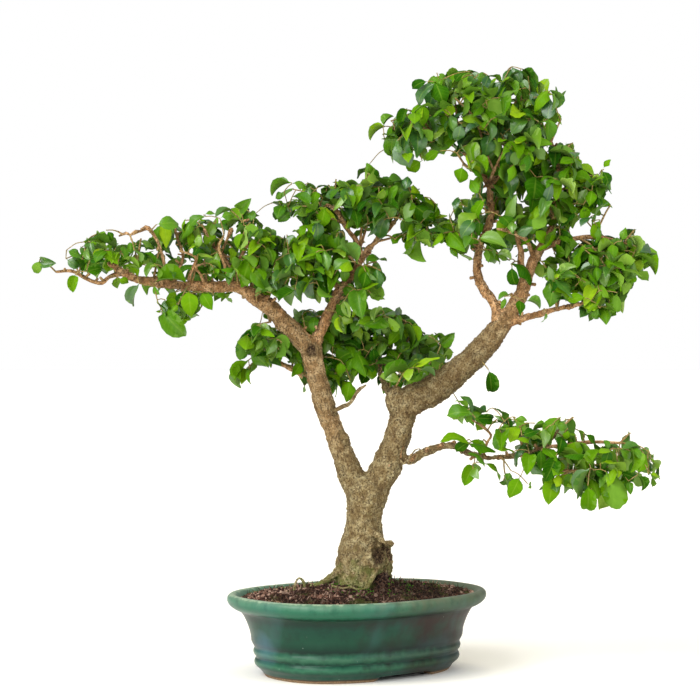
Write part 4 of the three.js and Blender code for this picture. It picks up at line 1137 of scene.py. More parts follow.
# %% Where the leaves are
# The main twigs of each pad: where it leaves the wood and where its tips are.
SHOOTS = {
    "left_tip": [
        ((-300, -37, 399), [(-318, -34, 410), (-322, -46, 398)]),
        ((-278, -36, 396), [(-286, -52, 426), (-270, -18, 430), (-290, -58, 382)]),
        ((-240, -32, 401), [(-250, -14, 440), (-234, -64, 424)]),
    ],
    "left_pad": [
        ((-220, -29, 392), [(-212, -54, 448), (-222, 2, 428)]),
        ((-206, -27, 389), [(-198, 14, 430), (-176, 10, 412)]),
        ((-210, -28, 390), [(-228, -58, 366), (-200, -62, 368)]),
        ((-184, -10, 446), [(-196, -2, 456), (-176, -18, 458)]),
        ((-168, -22, 385), [(-160, -58, 424), (-180, -62, 366)]),
        ((-150, -20, 384), [(-152, 22, 436), (-128, 30, 408), (-138, -56, 370)]),
        ((-144, -10, 424), [(-140, -20, 458), (-160, 0, 452)]),
        ((-108, -9, 430), [(-100, -8, 456), (-122, -14, 458)]),
        ((-120, -17, 384), [(-98, -50, 432), (-124, -58, 402)]),
        ((-108, -15, 378), [(-86, 26, 428), (-102, 30, 392)]),
    ],
    "middle_pad": [
        ((-38, -9, 467), [(-66, -4, 482), (-52, -30, 494)]),
        ((-22, -6, 460), [(-20, -22, 500), (-36, 22, 492)]),
        ((-13, -2, 446), [(-58, 22, 456), (-44, -38, 446)]),
        ((4, 5, 424), [(8, -12, 500), (22, 24, 486)]),
        ((36, 9, 449), [(64, -4, 474), (50, -30, 494)]),
        ((16, 8, 428), [(34, -46, 452), (48, -36, 424), (72, 34, 426)]),
        ((0, 7, 406), [(-34, -44, 420), (-48, -30, 440)]),
        ((-18, 5, 381), [(-60, -28, 404), (-70, 14, 426)]),
        ((-6, 6, 396), [(28, -40, 398), (34, 30, 410)]),
    ],
    "back_pad": [
        ((-92, 58, 314), [(-118, 62, 338), (-108, 82, 302)]),
        ((-66, 54, 302), [(-84, 72, 282), (-62, 80, 340)]),
        ((-44, 32, 284), [(-26, 62, 326), (-14, 66, 296)]),
        ((24, 54, 302), [(2, 68, 352), (14, 92, 322)]),
        ((46, 62, 323), [(62, 72, 352), (86, 66, 334)]),
    ],
    "crown": [
        ((74, -4, 539), [(24, -12, 548), (40, -34, 562)]),
        ((88, -3, 531), [(66, 12, 578), (54, -30, 520)]),
        ((104, -1, 518), [(98, -18, 588), (92, -44, 552)]),
        ((139, 4, 570), [(116, -8, 596), (152, 8, 600)]),
        ((147, 6, 548), [(178, 20, 590), (172, -22, 572)]),
        ((148, 6, 524), [(124, -46, 566), (108, 36, 552)]),
        ((192, -9, 530), [(212, -12, 566), (182, -44, 548)]),
        ((200, -8, 506), [(232, -20, 520), (220, 24, 530)]),
        ((202, -7, 480), [(240, 16, 494), (234, -44, 480)]),
        ((134, 3, 486), [(156, -54, 506), (88, -42, 488)]),
        ((133, 3, 460), [(92, 22, 474), (150, 42, 478)]),
        ((121, 1, 424), [(84, -34, 438), (88, 20, 440), (90, -34, 404)]),
        ((196, -7, 452), [(188, -56, 470), (176, 40, 452)]),
        ((158, -22, 437), [(140, -56, 456), (166, -56, 424)]),
    ],
    "right_side": [
        ((236, -18, 434), [(260, -10, 474), (236, -58, 452)]),
        ((265, -20, 428), [(296, -26, 412), (282, 2, 446)]),
        ((220, -16, 432), [(250, -44, 400), (232, 26, 408)]),
        ((225, -29, 368), [(250, -34, 356), (240, -50, 386)]),
        ((198, -24, 362), [(194, -60, 390), (214, 8, 388)]),
    ],
    "low_right": [
        ((84, -15, 224), [(96, -32, 250), (72, -2, 250)]),
        ((112, -14, 252), [(102, -10, 264)]),
        ((122, -21, 215), [(106, -34, 192)]),
        ((166, -27, 218), [(160, -54, 252), (158, 6, 250)]),
        ((202, -32, 243), [(214, -36, 270), (196, -60, 262), (228, -8, 258)]),
        ((214, -32, 200), [(246, -40, 172), (260, -22, 198), (190, -56, 178)]),
        ((260, -30, 228), [(296, -32, 216), (268, -40, 258), (278, 4, 240)]),
    ],
}
# Single leaves: x and z of the start and of the tip, the width as it looks, and how the leaf shows: (b)right,
# (m)iddle, (d)ark, (s)hining with sky light, (p)ale underside or (y)oung and yellowish. A bright leaf's
# lighter green is partly painted light: the sun shining through it.
ACCENT_LEAVES = {
    "left": [
        (-319, 409, -324, 394, 10, "p"), (-317, 409, -305, 408, 11, "s"), (-283, 395, -285, 380, 11, "b"),
        (-270, 400, -255, 404, 10, "d"), (-290, 411, -277, 403, 10, "s"), (-289, 420, -274, 414, 9, "m"),
        (-271, 430, -248, 439, 6, "d"), (-250, 439, -240, 429, 7, "d"), (-199, 447, -174, 451, 14, "m"),
        (-155, 454, -171, 451, 4, "m"), (-152, 457, -140, 462, 5, "m"), (-136, 454, -121, 464, 9, "m"),
        (-118, 462, -111, 468, 12, "m"), (-107, 451, -105, 463, 8, "m"), (-107, 413, -116, 388, 23, "b"),
        (-106, 401, -90, 381, 16, "m"), (-220, 385, -230, 364, 12, "s"), (-194, 358, -173, 335, 21, "m"),
        (-181, 369, -196, 366, 10, "b"), (-194, 369, -206, 349, 9, "s"), (-169, 378, -167, 359, 17, "b"),
        (-169, 377, -190, 373, 8, "d"), (-155, 377, -148, 365, 13, "b"), (-142, 376, -123, 373, 8, "m"),
        (-204, 384, -204, 377, 3, "m"), (-200, 390, -172, 399, 12, "b"), (-238, 392, -225, 386, 8, "b"),
        (-112, 445, -94, 436, 10, "p"), (-115, 414, -99, 403, 10, "p"),
    ],
    "middle": [
        (-69, 488, -91, 484, 4, "m"), (-64, 488, -47, 494, 6, "m"), (-76, 478, -86, 471, 8, "m"),
        (-72, 463, -87, 453, 9, "s"), (-69, 458, -79, 450, 10, "m"), (-33, 474, -5, 481, 14, "s"),
        (-33, 462, -38, 442, 15, "b"), (-33, 410, -28, 372, 25, "d"), (-20, 435, -14, 408, 13, "m"),
        (29, 455, 12, 429, 16, "s"), (-2, 473, 0, 455, 14, "m"), (36, 488, 59, 493, 8, "m"),
        (39, 482, 59, 486, 12, "s"), (43, 463, 58, 469, 13, "p"), (57, 465, 78, 449, 20, "d"),
        (55, 477, 80, 463, 11, "d"), (46, 453, 53, 429, 14, "m"), (63, 435, 58, 406, 12, "p"),
        (47, 429, 61, 416, 12, "b"), (8, 403, 29, 387, 15, "m"), (12, 388, 29, 366, 15, "p"),
        (8, 411, 31, 416, 11, "m"), (-1, 379, 3, 358, 19, "m"), (-12, 384, -1, 374, 12, "m"),
        (-14, 402, -12, 387, 10, "m"), (-45, 392, -46, 368, 12, "s"), (-44, 422, -17, 427, 9, "d"),
        (-41, 449, -49, 429, 13, "b"), (-70, 435, -63, 427, 10, "s"), (-97, 423, -80, 411, 13, "b"),
        (-81, 408, -66, 387, 11, "p"), (-69, 416, -65, 403, 12, "s"), (-103, 392, -88, 380, 14, "d"),
        (-65, 380, -84, 371, 11, "d"), (17, 502, 27, 496, 3, "d"), (12, 498, 12, 506, 5, "m"),
        (45, 436, 31, 431, 5, "b"),
    ],
    "back": [
        (-103, 341, -120, 338, 5, "b"), (-106, 320, -92, 306, 18, "m"), (-111, 309, -128, 287, 13, "b"),
        (-87, 327, -83, 308, 9, "p"), (-81, 320, -78, 308, 9, "b"), (-57, 307, -66, 294, 11, "b"),
        (-55, 295, -50, 277, 8, "s"), (-33, 312, -22, 282, 14, "d"), (-8, 289, -12, 270, 16, "b"),
        (-4, 316, -3, 295, 15, "b"), (-17, 308, -17, 293, 10, "b"), (12, 303, 14, 282, 13, "b"),
        (15, 322, 19, 304, 10, "d"), (36, 317, 55, 324, 18, "m"), (21, 357, 37, 359, 12, "m"),
        (37, 356, 45, 352, 6, "m"), (47, 351, 63, 357, 4, "m"), (50, 348, 69, 338, 8, "d"),
        (84, 327, 94, 336, 12, "m"), (80, 303, 98, 311, 14, "p"), (60, 333, 74, 325, 8, "m"),
        (34, 288, 47, 287, 9, "d"), (44, 296, 56, 284, 8, "p"), (57, 298, 63, 285, 7, "p"),
        (25, 304, 25, 277, 7, "d"), (-94, 357, -86, 351, 7, "m"),
    ],
    "crown": [
        (26, 544, 7, 538, 4, "y"), (26, 546, 32, 559, 5, "m"), (36, 538, 29, 513, 13, "m"),
        (49, 537, 38, 504, 8, "s"), (60, 540, 59, 517, 19, "s"), (62, 566, 62, 546, 18, "b"),
        (56, 547, 33, 543, 8, "s"), (67, 589, 52, 586, 7, "d"), (75, 586, 49, 575, 10, "s"),
        (78, 588, 85, 568, 18, "d"), (82, 592, 69, 593, 5, "m"), (81, 597, 92, 591, 6, "m"),
        (109, 599, 94, 595, 3, "d"), (122, 597, 105, 588, 10, "s"), (119, 593, 135, 596, 10, "m"),
        (144, 588, 128, 568, 17, "s"), (155, 603, 160, 589, 14, "s"), (165, 601, 177, 594, 4, "d"),
        (172, 593, 186, 582, 6, "d"), (181, 575, 202, 586, 8, "b"), (173, 579, 183, 560, 12, "s"),
        (184, 572, 198, 559, 9, "s"), (124, 572, 116, 554, 12, "p"), (145, 561, 124, 554, 6, "y"),
        (156, 545, 168, 556, 6, "y"), (85, 538, 82, 515, 13, "s"), (103, 545, 98, 526, 12, "s"),
        (99, 540, 115, 542, 12, "s"), (131, 534, 126, 513, 16, "s"), (144, 536, 158, 517, 12, "s"),
        (151, 518, 145, 498, 14, "d"), (141, 500, 126, 498, 11, "m"), (164, 506, 195, 482, 18, "d"),
        (178, 492, 173, 464, 24, "d"), (104, 503, 100, 480, 15, "b"), (62, 509, 45, 498, 13, "b"),
        (80, 519, 66, 512, 8, "b"), (108, 529, 98, 518, 10, "d"), (158, 469, 157, 451, 9, "m"),
        (179, 449, 160, 435, 15, "m"), (178, 440, 191, 427, 10, "b"), (173, 432, 158, 434, 5, "b"),
        (158, 476, 144, 460, 10, "m"), (121, 471, 113, 454, 14, "s"), (91, 450, 84, 426, 17, "b"),
        (100, 464, 104, 444, 9, "s"), (103, 431, 95, 412, 10, "m"), (130, 420, 151, 412, 10, "m"),
        (70, 436, 76, 422, 6, "m"),
    ],
    "right_side": [
        (194, 521, 222, 518, 9, "m"), (217, 497, 239, 502, 7, "y"), (246, 504, 247, 515, 4, "b"),
        (245, 499, 260, 479, 12, "d"), (242, 489, 238, 476, 8, "b"), (226, 497, 242, 495, 6, "d"),
        (216, 484, 241, 465, 16, "d"), (240, 473, 248, 459, 7, "d"), (226, 464, 230, 446, 11, "b"),
        (216, 465, 224, 451, 8, "m"), (240, 444, 253, 430, 4, "m"), (241, 449, 230, 430, 9, "b"),
        (248, 424, 271, 422, 4, "m"), (264, 432, 267, 442, 8, "m"), (269, 432, 283, 428, 5, "m"),
        (277, 414, 305, 407, 6, "b"), (267, 398, 294, 400, 8, "b"), (275, 397, 272, 381, 10, "b"),
        (228, 421, 248, 418, 7, "b"), (213, 414, 236, 416, 12, "m"), (248, 416, 267, 408, 8, "b"),
        (216, 394, 198, 394, 9, "m"), (195, 389, 192, 367, 19, "m"), (154, 402, 154, 380, 11, "d"),
        (129, 421, 151, 410, 12, "m"), (156, 407, 188, 406, 5, "d"), (197, 440, 198, 406, 10, "p"),
        (202, 441, 208, 420, 8, "d"), (180, 441, 189, 426, 11, "b"), (225, 373, 209, 374, 7, "b"),
        (232, 368, 223, 355, 8, "b"), (242, 378, 247, 351, 8, "p"), (259, 376, 256, 356, 12, "p"),
        (240, 361, 232, 352, 6, "m"), (226, 389, 245, 370, 9, "p"), (170, 370, 185, 368, 4, "m"),
        (162, 370, 162, 357, 10, "d"), (147, 372, 150, 357, 7, "p"), (188, 358, 189, 346, 4, "m"),
        (150, 376, 140, 374, 5, "m"),
    ],
    "low_right": [
        (112, 257, 89, 264, 7, "m"), (110, 264, 100, 278, 6, "p"), (108, 257, 106, 243, 4, "p"),
        (114, 260, 113, 281, 5, "s"), (114, 259, 136, 260, 6, "m"), (120, 253, 138, 252, 11, "d"),
        (108, 229, 85, 246, 6, "b"), (111, 228, 95, 222, 8, "d"), (113, 230, 127, 217, 9, "b"),
        (114, 205, 107, 188, 14, "b"), (141, 240, 140, 218, 8, "m"), (147, 247, 150, 233, 8, "m"),
        (156, 252, 165, 234, 9, "p"), (137, 262, 154, 255, 4, "d"), (159, 253, 166, 251, 7, "m"),
        (166, 236, 183, 243, 10, "d"), (179, 248, 187, 249, 5, "m"), (197, 247, 216, 253, 7, "m"),
        (166, 226, 140, 214, 7, "s"), (128, 207, 152, 200, 6, "b"), (152, 198, 147, 187, 8, "m"),
        (161, 192, 152, 174, 15, "b"), (171, 187, 177, 186, 6, "p"), (171, 216, 169, 202, 14, "b"),
        (194, 192, 191, 170, 18, "b"), (187, 221, 180, 204, 9, "d"), (197, 212, 188, 192, 16, "d"),
        (204, 233, 200, 221, 13, "d"), (210, 240, 212, 226, 7, "b"), (202, 221, 237, 200, 7, "b"),
        (233, 205, 237, 224, 8, "b"), (214, 197, 207, 178, 14, "m"), (230, 200, 214, 176, 6, "s"),
        (230, 183, 231, 157, 16, "b"), (249, 197, 263, 160, 24, "p"), (228, 236, 247, 221, 10, "d"),
        (250, 222, 250, 234, 6, "m"), (264, 221, 278, 210, 10, "m"), (283, 212, 278, 228, 7, "m"),
        (281, 200, 290, 217, 14, "b"), (292, 212, 304, 205, 4, "y"), (293, 197, 306, 197, 4, "y"),
        (292, 198, 300, 185, 5, "b"), (281, 194, 290, 182, 4, "d"), (271, 188, 272, 179, 7, "m"),
        (264, 198, 280, 192, 10, "d"), (238, 200, 250, 195, 8, "d"), (245, 208, 271, 209, 7, "y"),
        (126, 207, 123, 229, 4, "m"), (131, 299, 136, 276, 13, "d"),
    ],
}
# Each pad: its depths, the number of leaves that fill it, and the part of the picture it takes.
PADS = {
    "left": ((-62, 34), 350, [(-338, 326), (-338, 456), (-208, 466), (-73, 476), (-73, 326)]),
    "middle": ((-50, 42), 365, [(-100, 349), (-100, 506), (37, 511), (84, 481), (84, 401), (37, 349)]),
    "back": ((22, 98), 380, [(-136, 261), (-136, 366), (104, 366), (104, 261)]),
    "crown": ((-62, 52), 670, [
        (2, 611), (242, 611), (242, 511), (232, 396), (67, 396), (84, 471), (37, 493), (2, 531),
    ]),
    "right_side": ((-60, 28), 220, [(202, 526), (307, 471), (307, 341), (142, 341), (142, 401), (212, 441)]),
    "low_right": ((-62, 12), 205, [(47, 151), (47, 309), (142, 309), (312, 251), (312, 151)]),
}
# The outlines of the foliage, drawn from the photo, and the gaps that show sky.
FOLIAGE = {
    "left": [
        (-290, 408), (-286, 421), (-266, 438), (-249, 439), (-239, 430), (-213, 434), (-188, 454),
        (-172, 453), (-152, 459), (-123, 464), (-109, 466), (-91, 446), (-84, 432), (-84, 380), (-122, 377),
        (-150, 366), (-163, 359), (-173, 336), (-188, 346), (-205, 354), (-196, 376), (-228, 388),
        (-262, 394),
    ],
    "middle": [
        (-88, 470), (-78, 480), (-62, 486), (-44, 489), (-20, 499), (12, 505), (28, 496), (58, 494),
        (57, 481), (84, 464), (82, 452), (62, 445), (30, 447), (16, 424), (28, 416), (10, 404), (30, 390),
        (29, 366), (14, 378), (4, 359), (-22, 370), (-42, 368), (-52, 384), (-75, 363), (-90, 378),
        (-90, 437), (-66, 441), (-50, 449), (-87, 456),
    ],
    "back": [
        (-120, 338), (-98, 346), (-82, 344), (-52, 363), (-8, 361), (0, 354), (30, 363), (46, 352), (68, 342),
        (92, 337), (98, 309), (74, 284), (46, 282), (34, 287), (24, 277), (16, 296), (2, 298), (-10, 272),
        (-22, 286), (-48, 278), (-66, 306), (-92, 308), (-122, 285), (-130, 290), (-116, 318),
    ],
    "crown": [
        (24, 520), (25, 534), (40, 551), (56, 560), (72, 583), (72, 596), (88, 598), (125, 600), (155, 603),
        (172, 600), (184, 587), (206, 585), (199, 548), (208, 530), (222, 526), (220, 508), (240, 502),
        (258, 492), (260, 481), (244, 484), (247, 461), (228, 450), (212, 454), (210, 425), (201, 407),
        (192, 428), (150, 411), (128, 408), (118, 425), (122, 460), (103, 508), (84, 514), (52, 519),
        (37, 507),
    ],
    "crown_low_left": [
        (46, 440), (52, 456), (76, 446), (98, 474), (122, 470), (126, 440), (112, 410), (94, 408), (90, 430),
        (76, 424), (64, 432), (64, 408), (56, 406),
    ],
    "right_side": [
        (206, 426), (224, 428), (239, 448), (250, 432), (264, 441), (281, 432), (303, 407), (284, 411),
        (293, 400), (276, 392), (264, 371), (262, 357), (246, 352), (232, 353), (222, 368), (205, 374),
        (186, 370), (183, 382), (192, 394), (158, 404), (176, 410), (200, 408),
    ],
    "low_right": [
        (88, 262), (110, 267), (150, 258), (166, 246), (213, 255), (221, 250), (224, 232), (246, 226),
        (280, 228), (303, 205), (300, 188), (281, 195), (276, 182), (266, 178), (263, 161), (244, 180),
        (232, 158), (222, 172), (202, 188), (195, 171), (185, 175), (178, 206), (163, 203), (158, 214),
        (140, 219), (136, 246), (104, 247),
    ],
    "low_right_start": [(88, 216), (127, 231), (128, 212), (106, 189), (113, 214)],
    "low_right_hanging": [(144, 190), (162, 203), (176, 187), (153, 175)],
}
SKY_GAPS = [
    [(-40, 428), (-21, 432), (-24, 439), (-36, 442)],
    [(202, 203), (210, 203), (208, 196), (203, 192)],
    [(146, 224), (148, 232), (160, 236), (164, 228)],
]
# The limbs that show between the leaves: the share of each, from its start.
BARE_SHARES = {
    "left_limb": 1, "right_limb": 1, "left_branch": 1, "left_tip": 0.7, "middle_branch": 1, "middle_side": 1,
    "back_left_branch": 0.4, "back_right_branch": 0.35, "crown_left_branch": 0.72, "crown_top_branch": 0.2,
    "crown_right_branch": 0.5, "crown_inner_stem": 1, "low_crown_branch": 0.9, "low_right_branch": 0.87,
    "front_twig_1": 0.8, "front_twig_2": 0.8, "crown_front_1": 0.7, "crown_front_2": 0.5,
    "crown_front_3": 0.5, "crown_front_4": 0.6,
}
PAD_OF = {"left_tip": "left", "left_pad": "left", "middle_pad": "middle", "back_pad": "back"}
print(sum(len(leaves) for leaves in ACCENT_LEAVES.values()), "leaves placed one by one")


# %% Growing twigs from the nearest wood
LEAF_LENGTH, LEAF_LENGTH_SPREAD = 24, 3.6
SHORTEST_LEAF = 13
LEAF_WIDTH_SHARE = 0.56
# So many leaves mirror the sky.
SHINING_SHARE = 0.42
# The leaves of the left pad are smaller, and so are the ones at the tip of a twig.
LEFT_LEAVES = 0.85
TIP_LEAVES = 0.8
# The gap between two pairs, on the twigs that fill a pad and on its main twigs.
PAIR_GAP, MAIN_PAIR_GAP = 9.0, 11.0
# How much of a twig carries leaves, from its tip back.
LEAFY_SHARE = 0.75
# A leaf keeps this share of its length away from a limb that shows.
CLEAR_OF_WOOD = 0.22
# The radius of a twig at its tip, how it grows with the twig's length, and where it ends.
TWIG_TIP, TWIG_GROWTH, TWIG_MOST = 0.55, 0.014, 1.7
TWIG_SIDES = 6
rng = random.Random(41)
twigs = []
nodes = [row[:4] for row in skeleton]
leaves = {name: [] for name in PADS}
UP = np.array((0.0, 0.0, 1.0))
TOWARDS_EYE = np.array((0.0, -1.0, 0.0))
# How light the green of each kind is, and how much it shines.
# The bright kind is lighter partly as painted light shining through the leaf.
TINTS = {
    "d": (0.12, 0.1), "s": (0.3, 0.9), "m": (0.4, 0.3), "b": (0.48, 0.1), "p": (0.5, 0.0), "y": (0.7, 0.1)}


def unit(way):
    return way / np.linalg.norm(way)


def looks(place):
    """x and z of a real place as they are seen, the inverse of seen()."""
    grow = 1 + (place[1] - POT_Y) / EYE_DISTANCE
    return (place[0] - POT_X - EYE_X) / grow + EYE_X, (place[2] - EYE_HEIGHT) / grow + EYE_HEIGHT


def grow_twig(tip, start=None, arch=0.12):
    """A twig from the nearest wood to its tip, as rows of x, y, z and radius."""
    grown = np.array(nodes)
    away = np.linalg.norm(grown[:, :3] - (tip if start is None else start), axis=1)
    row = grown[int(np.argmin(away))]
    base = row[:3]
    length = np.linalg.norm(tip - base)
    if length < 1.5:
        return None
    middle = (base + tip) / 2 + UP * arch * length
    middle += np.array([rng.uniform(-0.06, 0.06) * length for _ in range(3)])
    thick = min(0.8 * row[3], TWIG_MOST, TWIG_TIP + TWIG_GROWTH * length)
    ends = [[*base, thick], [*middle, 0.5 * (thick + TWIG_TIP)], [*tip, TWIG_TIP]]
    path = smooth_path(ends, 5)
    twigs.append(path)
    nodes.extend(path[1:])
    return path


def cut_last_twig(rows):
    """Cuts the last twig to its first rows, or takes it back whole."""
    last = twigs.pop()
    del nodes[-(len(last) - 1):]
    if rows > 1:
        twigs.append(last[:rows])
        nodes.extend(last[1:rows])


def add_leaf(pad, base, ahead, face, length, width_share, tint, sheen, free=True):
    leaves[pad].append((base, unit(ahead), face, length, width_share, tint, sheen, free))


def fits(base, ahead, length):
    """Whether a leaf stays within the foliage as it is seen, and leaves the bare limbs in view."""
    middle = base + 0.5 * length * ahead
    if not (in_foliage(looks(base + ahead * length)) and in_foliage(looks(middle))):
        return False
    x, z = looks(middle)
    away = np.hypot(bare_wood[:, 0] - x, bare_wood[:, 1] - z) - bare_wood[:, 3]
    behind = bare_wood[:, 2] > middle[1] - 6
    return not np.any((away < CLEAR_OF_WOOD * length) & behind)


def free_leaf(pad, base, ahead, outward, length):
    """A leaf that turns its upper face to the light, unless it has no room there."""
    if not fits(base, ahead, length):
        return False
    jitter = np.array([rng.uniform(-1, 1) for _ in range(3)])
    face = UP + 0.4 * outward + 0.05 * TOWARDS_EYE + 0.55 * jitter
    tint = min(0.8, max(0.05, rng.gauss(0.44, 0.2)))
    sheen = rng.uniform(0.5, 1) if rng.random() < SHINING_SHARE else rng.uniform(0.08, 0.2)
    add_leaf(pad, base, ahead, face, length, LEAF_WIDTH_SHARE + rng.uniform(-0.1, 0.08), tint, sheen)
    return True


def pairs_of_leaves(pad, path, centre, gap=PAIR_GAP):
    """Opposite pairs along a twig from its tip back, and one leaf or two at the tip."""
    ahead = unit(path[-1, :3] - path[-2, :3])
    outward = unit(path[-1, :3] - centre)
    made = 0
    level = unit(np.cross(ahead, UP + 0.01))
    steep = np.cross(level, ahead)
    lengths = np.linalg.norm(np.diff(path[:, :3], axis=0), axis=1)
    total = float(lengths.sum())
    turn = rng.uniform(0, math.pi)
    back, rows = 0.0, 0
    marks = np.concatenate(([0], np.cumsum(lengths)))
    while back < LEAFY_SHARE * total:
        t = np.interp(total - back, marks, np.arange(len(path)))
        low = int(min(t, len(path) - 2))
        base = path[low, :3] + (t - low) * (path[low + 1, :3] - path[low, :3])
        across = math.cos(turn) * level + math.sin(turn) * steep
        for way in (1, -1):
            length = rng.gauss(LEAF_LENGTH, LEAF_LENGTH_SPREAD) * (TIP_LEAVES if back == 0 else 1)
            length = max(SHORTEST_LEAF, length * (LEFT_LEAVES if pad == "left" else 1))
            direction = unit((1.0 if back == 0 else 0.45) * ahead + way * across - 0.1 * UP
                             + np.array([rng.uniform(-0.35, 0.35) for _ in range(3)]))
            if free_leaf(pad, base, direction, outward, length):
                made += 1
                rows = max(rows, low + 2)
        turn += math.pi / 2 + rng.uniform(-0.3, 0.3)
        back += gap * rng.uniform(0.75, 1.3)
    cut_last_twig(rows)
    return made


def inside(spot, outline):
    """Whether a seen spot (x, z) lies in an outline."""
    x, z = spot
    crossings = 0
    for (x0, z0), (x1, z1) in zip(outline, outline[1:] + outline[:1]):
        crossings += (z0 > z) != (z1 > z) and x < x0 + (z - z0) / (z1 - z0) * (x1 - x0)
    return crossings % 2 == 1


def edge_distance(spot, outline):
    """How far a seen spot is from the nearest side of an outline."""
    spot = np.array(spot)
    best = math.inf
    for start, end in zip(outline, outline[1:] + outline[:1]):
        start, end = np.array(start, float), np.array(end, float)
        t = np.clip(np.dot(spot - start, end - start) / np.dot(end - start, end - start), 0, 1)
        best = min(best, float(np.linalg.norm(start + t * (end - start) - spot)))
    return best


def in_foliage(spot):
    in_gap = any(inside(spot, gap) for gap in SKY_GAPS)
    return not in_gap and any(inside(spot, outline) for outline in FOLIAGE.values())


bare_wood = []
for name, share in BARE_SHARES.items():
    path = limb_paths[name]
    bare_wood += [(*looks(row[:3]), row[1], row[3]) for row in path[:math.ceil(share * len(path))]]
bare_wood = np.array(bare_wood)
centres = {}
for name, (depths, count, outline) in PADS.items():
    x, z = np.mean(np.array(outline), axis=0)
    # The middle is set low, so that the leaves fan out upwards.
    centres[name] = seen((x, sum(depths) / 2, z)) - UP * 25

for group, shoots in SHOOTS.items():
    for start, tips in shoots:
        start = seen(start)
        for tip in tips:
            pad = PAD_OF.get(group, group)
            path = grow_twig(seen(tip), start)
            if path is not None:
                pairs_of_leaves(pad, path, centres[pad], gap=MAIN_PAIR_GAP)
print(len(twigs), "main twigs")


# %% The leaves that are placed one by one
# No leaf is shorter than this, nor shorter than so many times its width.
SHORTEST_SEEN, LEAST_SLIMNESS = 12, 1.55
STALK_LENGTH = 2.5


def seen_leaf(pad, leaf):
    """Turns a leaf as it is seen into one in space.

    One that looks short points at the eye, and one that looks narrow is rolled about its midrib.
    """
    x0, z0, x1, z1, width, kind = leaf
    seen_length = math.hypot(x1 - x0, z1 - z0)
    length = max(seen_length, LEAST_SLIMNESS * width, SHORTEST_SEEN)
    spot = np.array(seen((x0, 0, z0)))
    gaps = np.linalg.norm(skeleton[:, (0, 2)] - spot[[0, 2]], axis=1)
    depth = skeleton[int(np.argmin(gaps)), 1] - POT_Y
    low, high = PADS[pad][0]
    depth = min(max(depth - rng.uniform(10, 36), low), high)
    base = seen((x0, depth, z0))
    lean = math.sqrt(max(0.0, length ** 2 - seen_length ** 2))
    ahead = unit(np.array((x1 - x0, -lean, z1 - z0), float))
    full = LEAF_WIDTH_SHARE * length
    roll = math.acos(min(1.0, max(0.12, width / full)))
    flat = unit(TOWARDS_EYE - ahead * ahead.dot(TOWARDS_EYE)) if abs(ahead[1]) < 0.98 else UP
    side = np.cross(ahead, flat)
    choices = [math.cos(roll) * flat + way * math.sin(roll) * side for way in (1, -1)]
    if kind == "p":
        face = -min(choices, key=lambda way: way[2])
    else:
        face = max(choices, key=lambda way: way[2])
    tint, sheen = TINTS[kind]
    tint += rng.uniform(-0.06, 0.06)
    return base, ahead, face, length, max(LEAF_WIDTH_SHARE, width / length), tint, sheen


placed = [(pad, seen_leaf(pad, leaf)) for pad, some in ACCENT_LEAVES.items() for leaf in some]
tree_points = np.array(nodes)[:, :3]
placed.sort(key=lambda item: float(np.min(np.linalg.norm(tree_points - item[1][0], axis=1))))
for pad, (base, ahead, face, length, share, tint, sheen) in placed:
    grow_twig(base - STALK_LENGTH * ahead, arch=0.08)
    add_leaf(pad, base, ahead, face, length, share, tint, sheen, free=False)
print(len(placed), "leaves stand where they are seen")

# %% The leaves that fill the pads
# A new twig starts no nearer to the wood than this, and reaches no farther.
TWIG_SHORTEST, TWIG_LONGEST = 7, 60
MOST_TRIES = 4000
# The pads are rounded off over this width at their edges.
PAD_ROUNDING = 40
for name, (depths, wanted, outline) in PADS.items():
    made = tries = 0
    xs, zs = zip(*outline)
    while made < wanted and tries < MOST_TRIES:
        tries += 1
        spot = rng.uniform(min(xs), max(xs)), rng.uniform(min(zs), max(zs))
        if not (inside(spot, outline) and in_foliage(spot)):
            continue
        room = min(1.0, edge_distance(spot, outline) / PAD_ROUNDING) ** 0.5
        middle = sum(depths) / 2
        depth = middle + rng.uniform(-1, 1) * room * (depths[1] - depths[0]) / 2
        tip = seen((spot[0], depth, spot[1]))
        gap = float(np.min(np.linalg.norm(np.array(nodes)[:, :3] - tip, axis=1)))
        if not TWIG_SHORTEST <= gap <= TWIG_LONGEST:
            continue
        path = grow_twig(tip)
        made += pairs_of_leaves(name, path, centres[name])
    print(name, made, "filling leaves,", len(leaves[name]), "in all")

# %% One leaf, in eight shapes
# The blade is a thin closed body with a stalk. It is folded up along the midrib, its margins turn down, it
# bends down towards the tip, its edge is wavy and it is a little twisted, each more or less in each shape.
STATIONS = [(0.0, 0.08), (0.06, 0.42), (0.16, 0.78), (0.31, 0.99), (0.48, 0.97), (0.65, 0.77), (0.81, 0.46),
            (0.93, 0.17)]
RING = [(0, 1), (0.55, 1), (1, 0), (0, -1), (-1, 0), (-0.55, 1)]
LEAF_THICKNESS = 0.012
STALK = 0.13


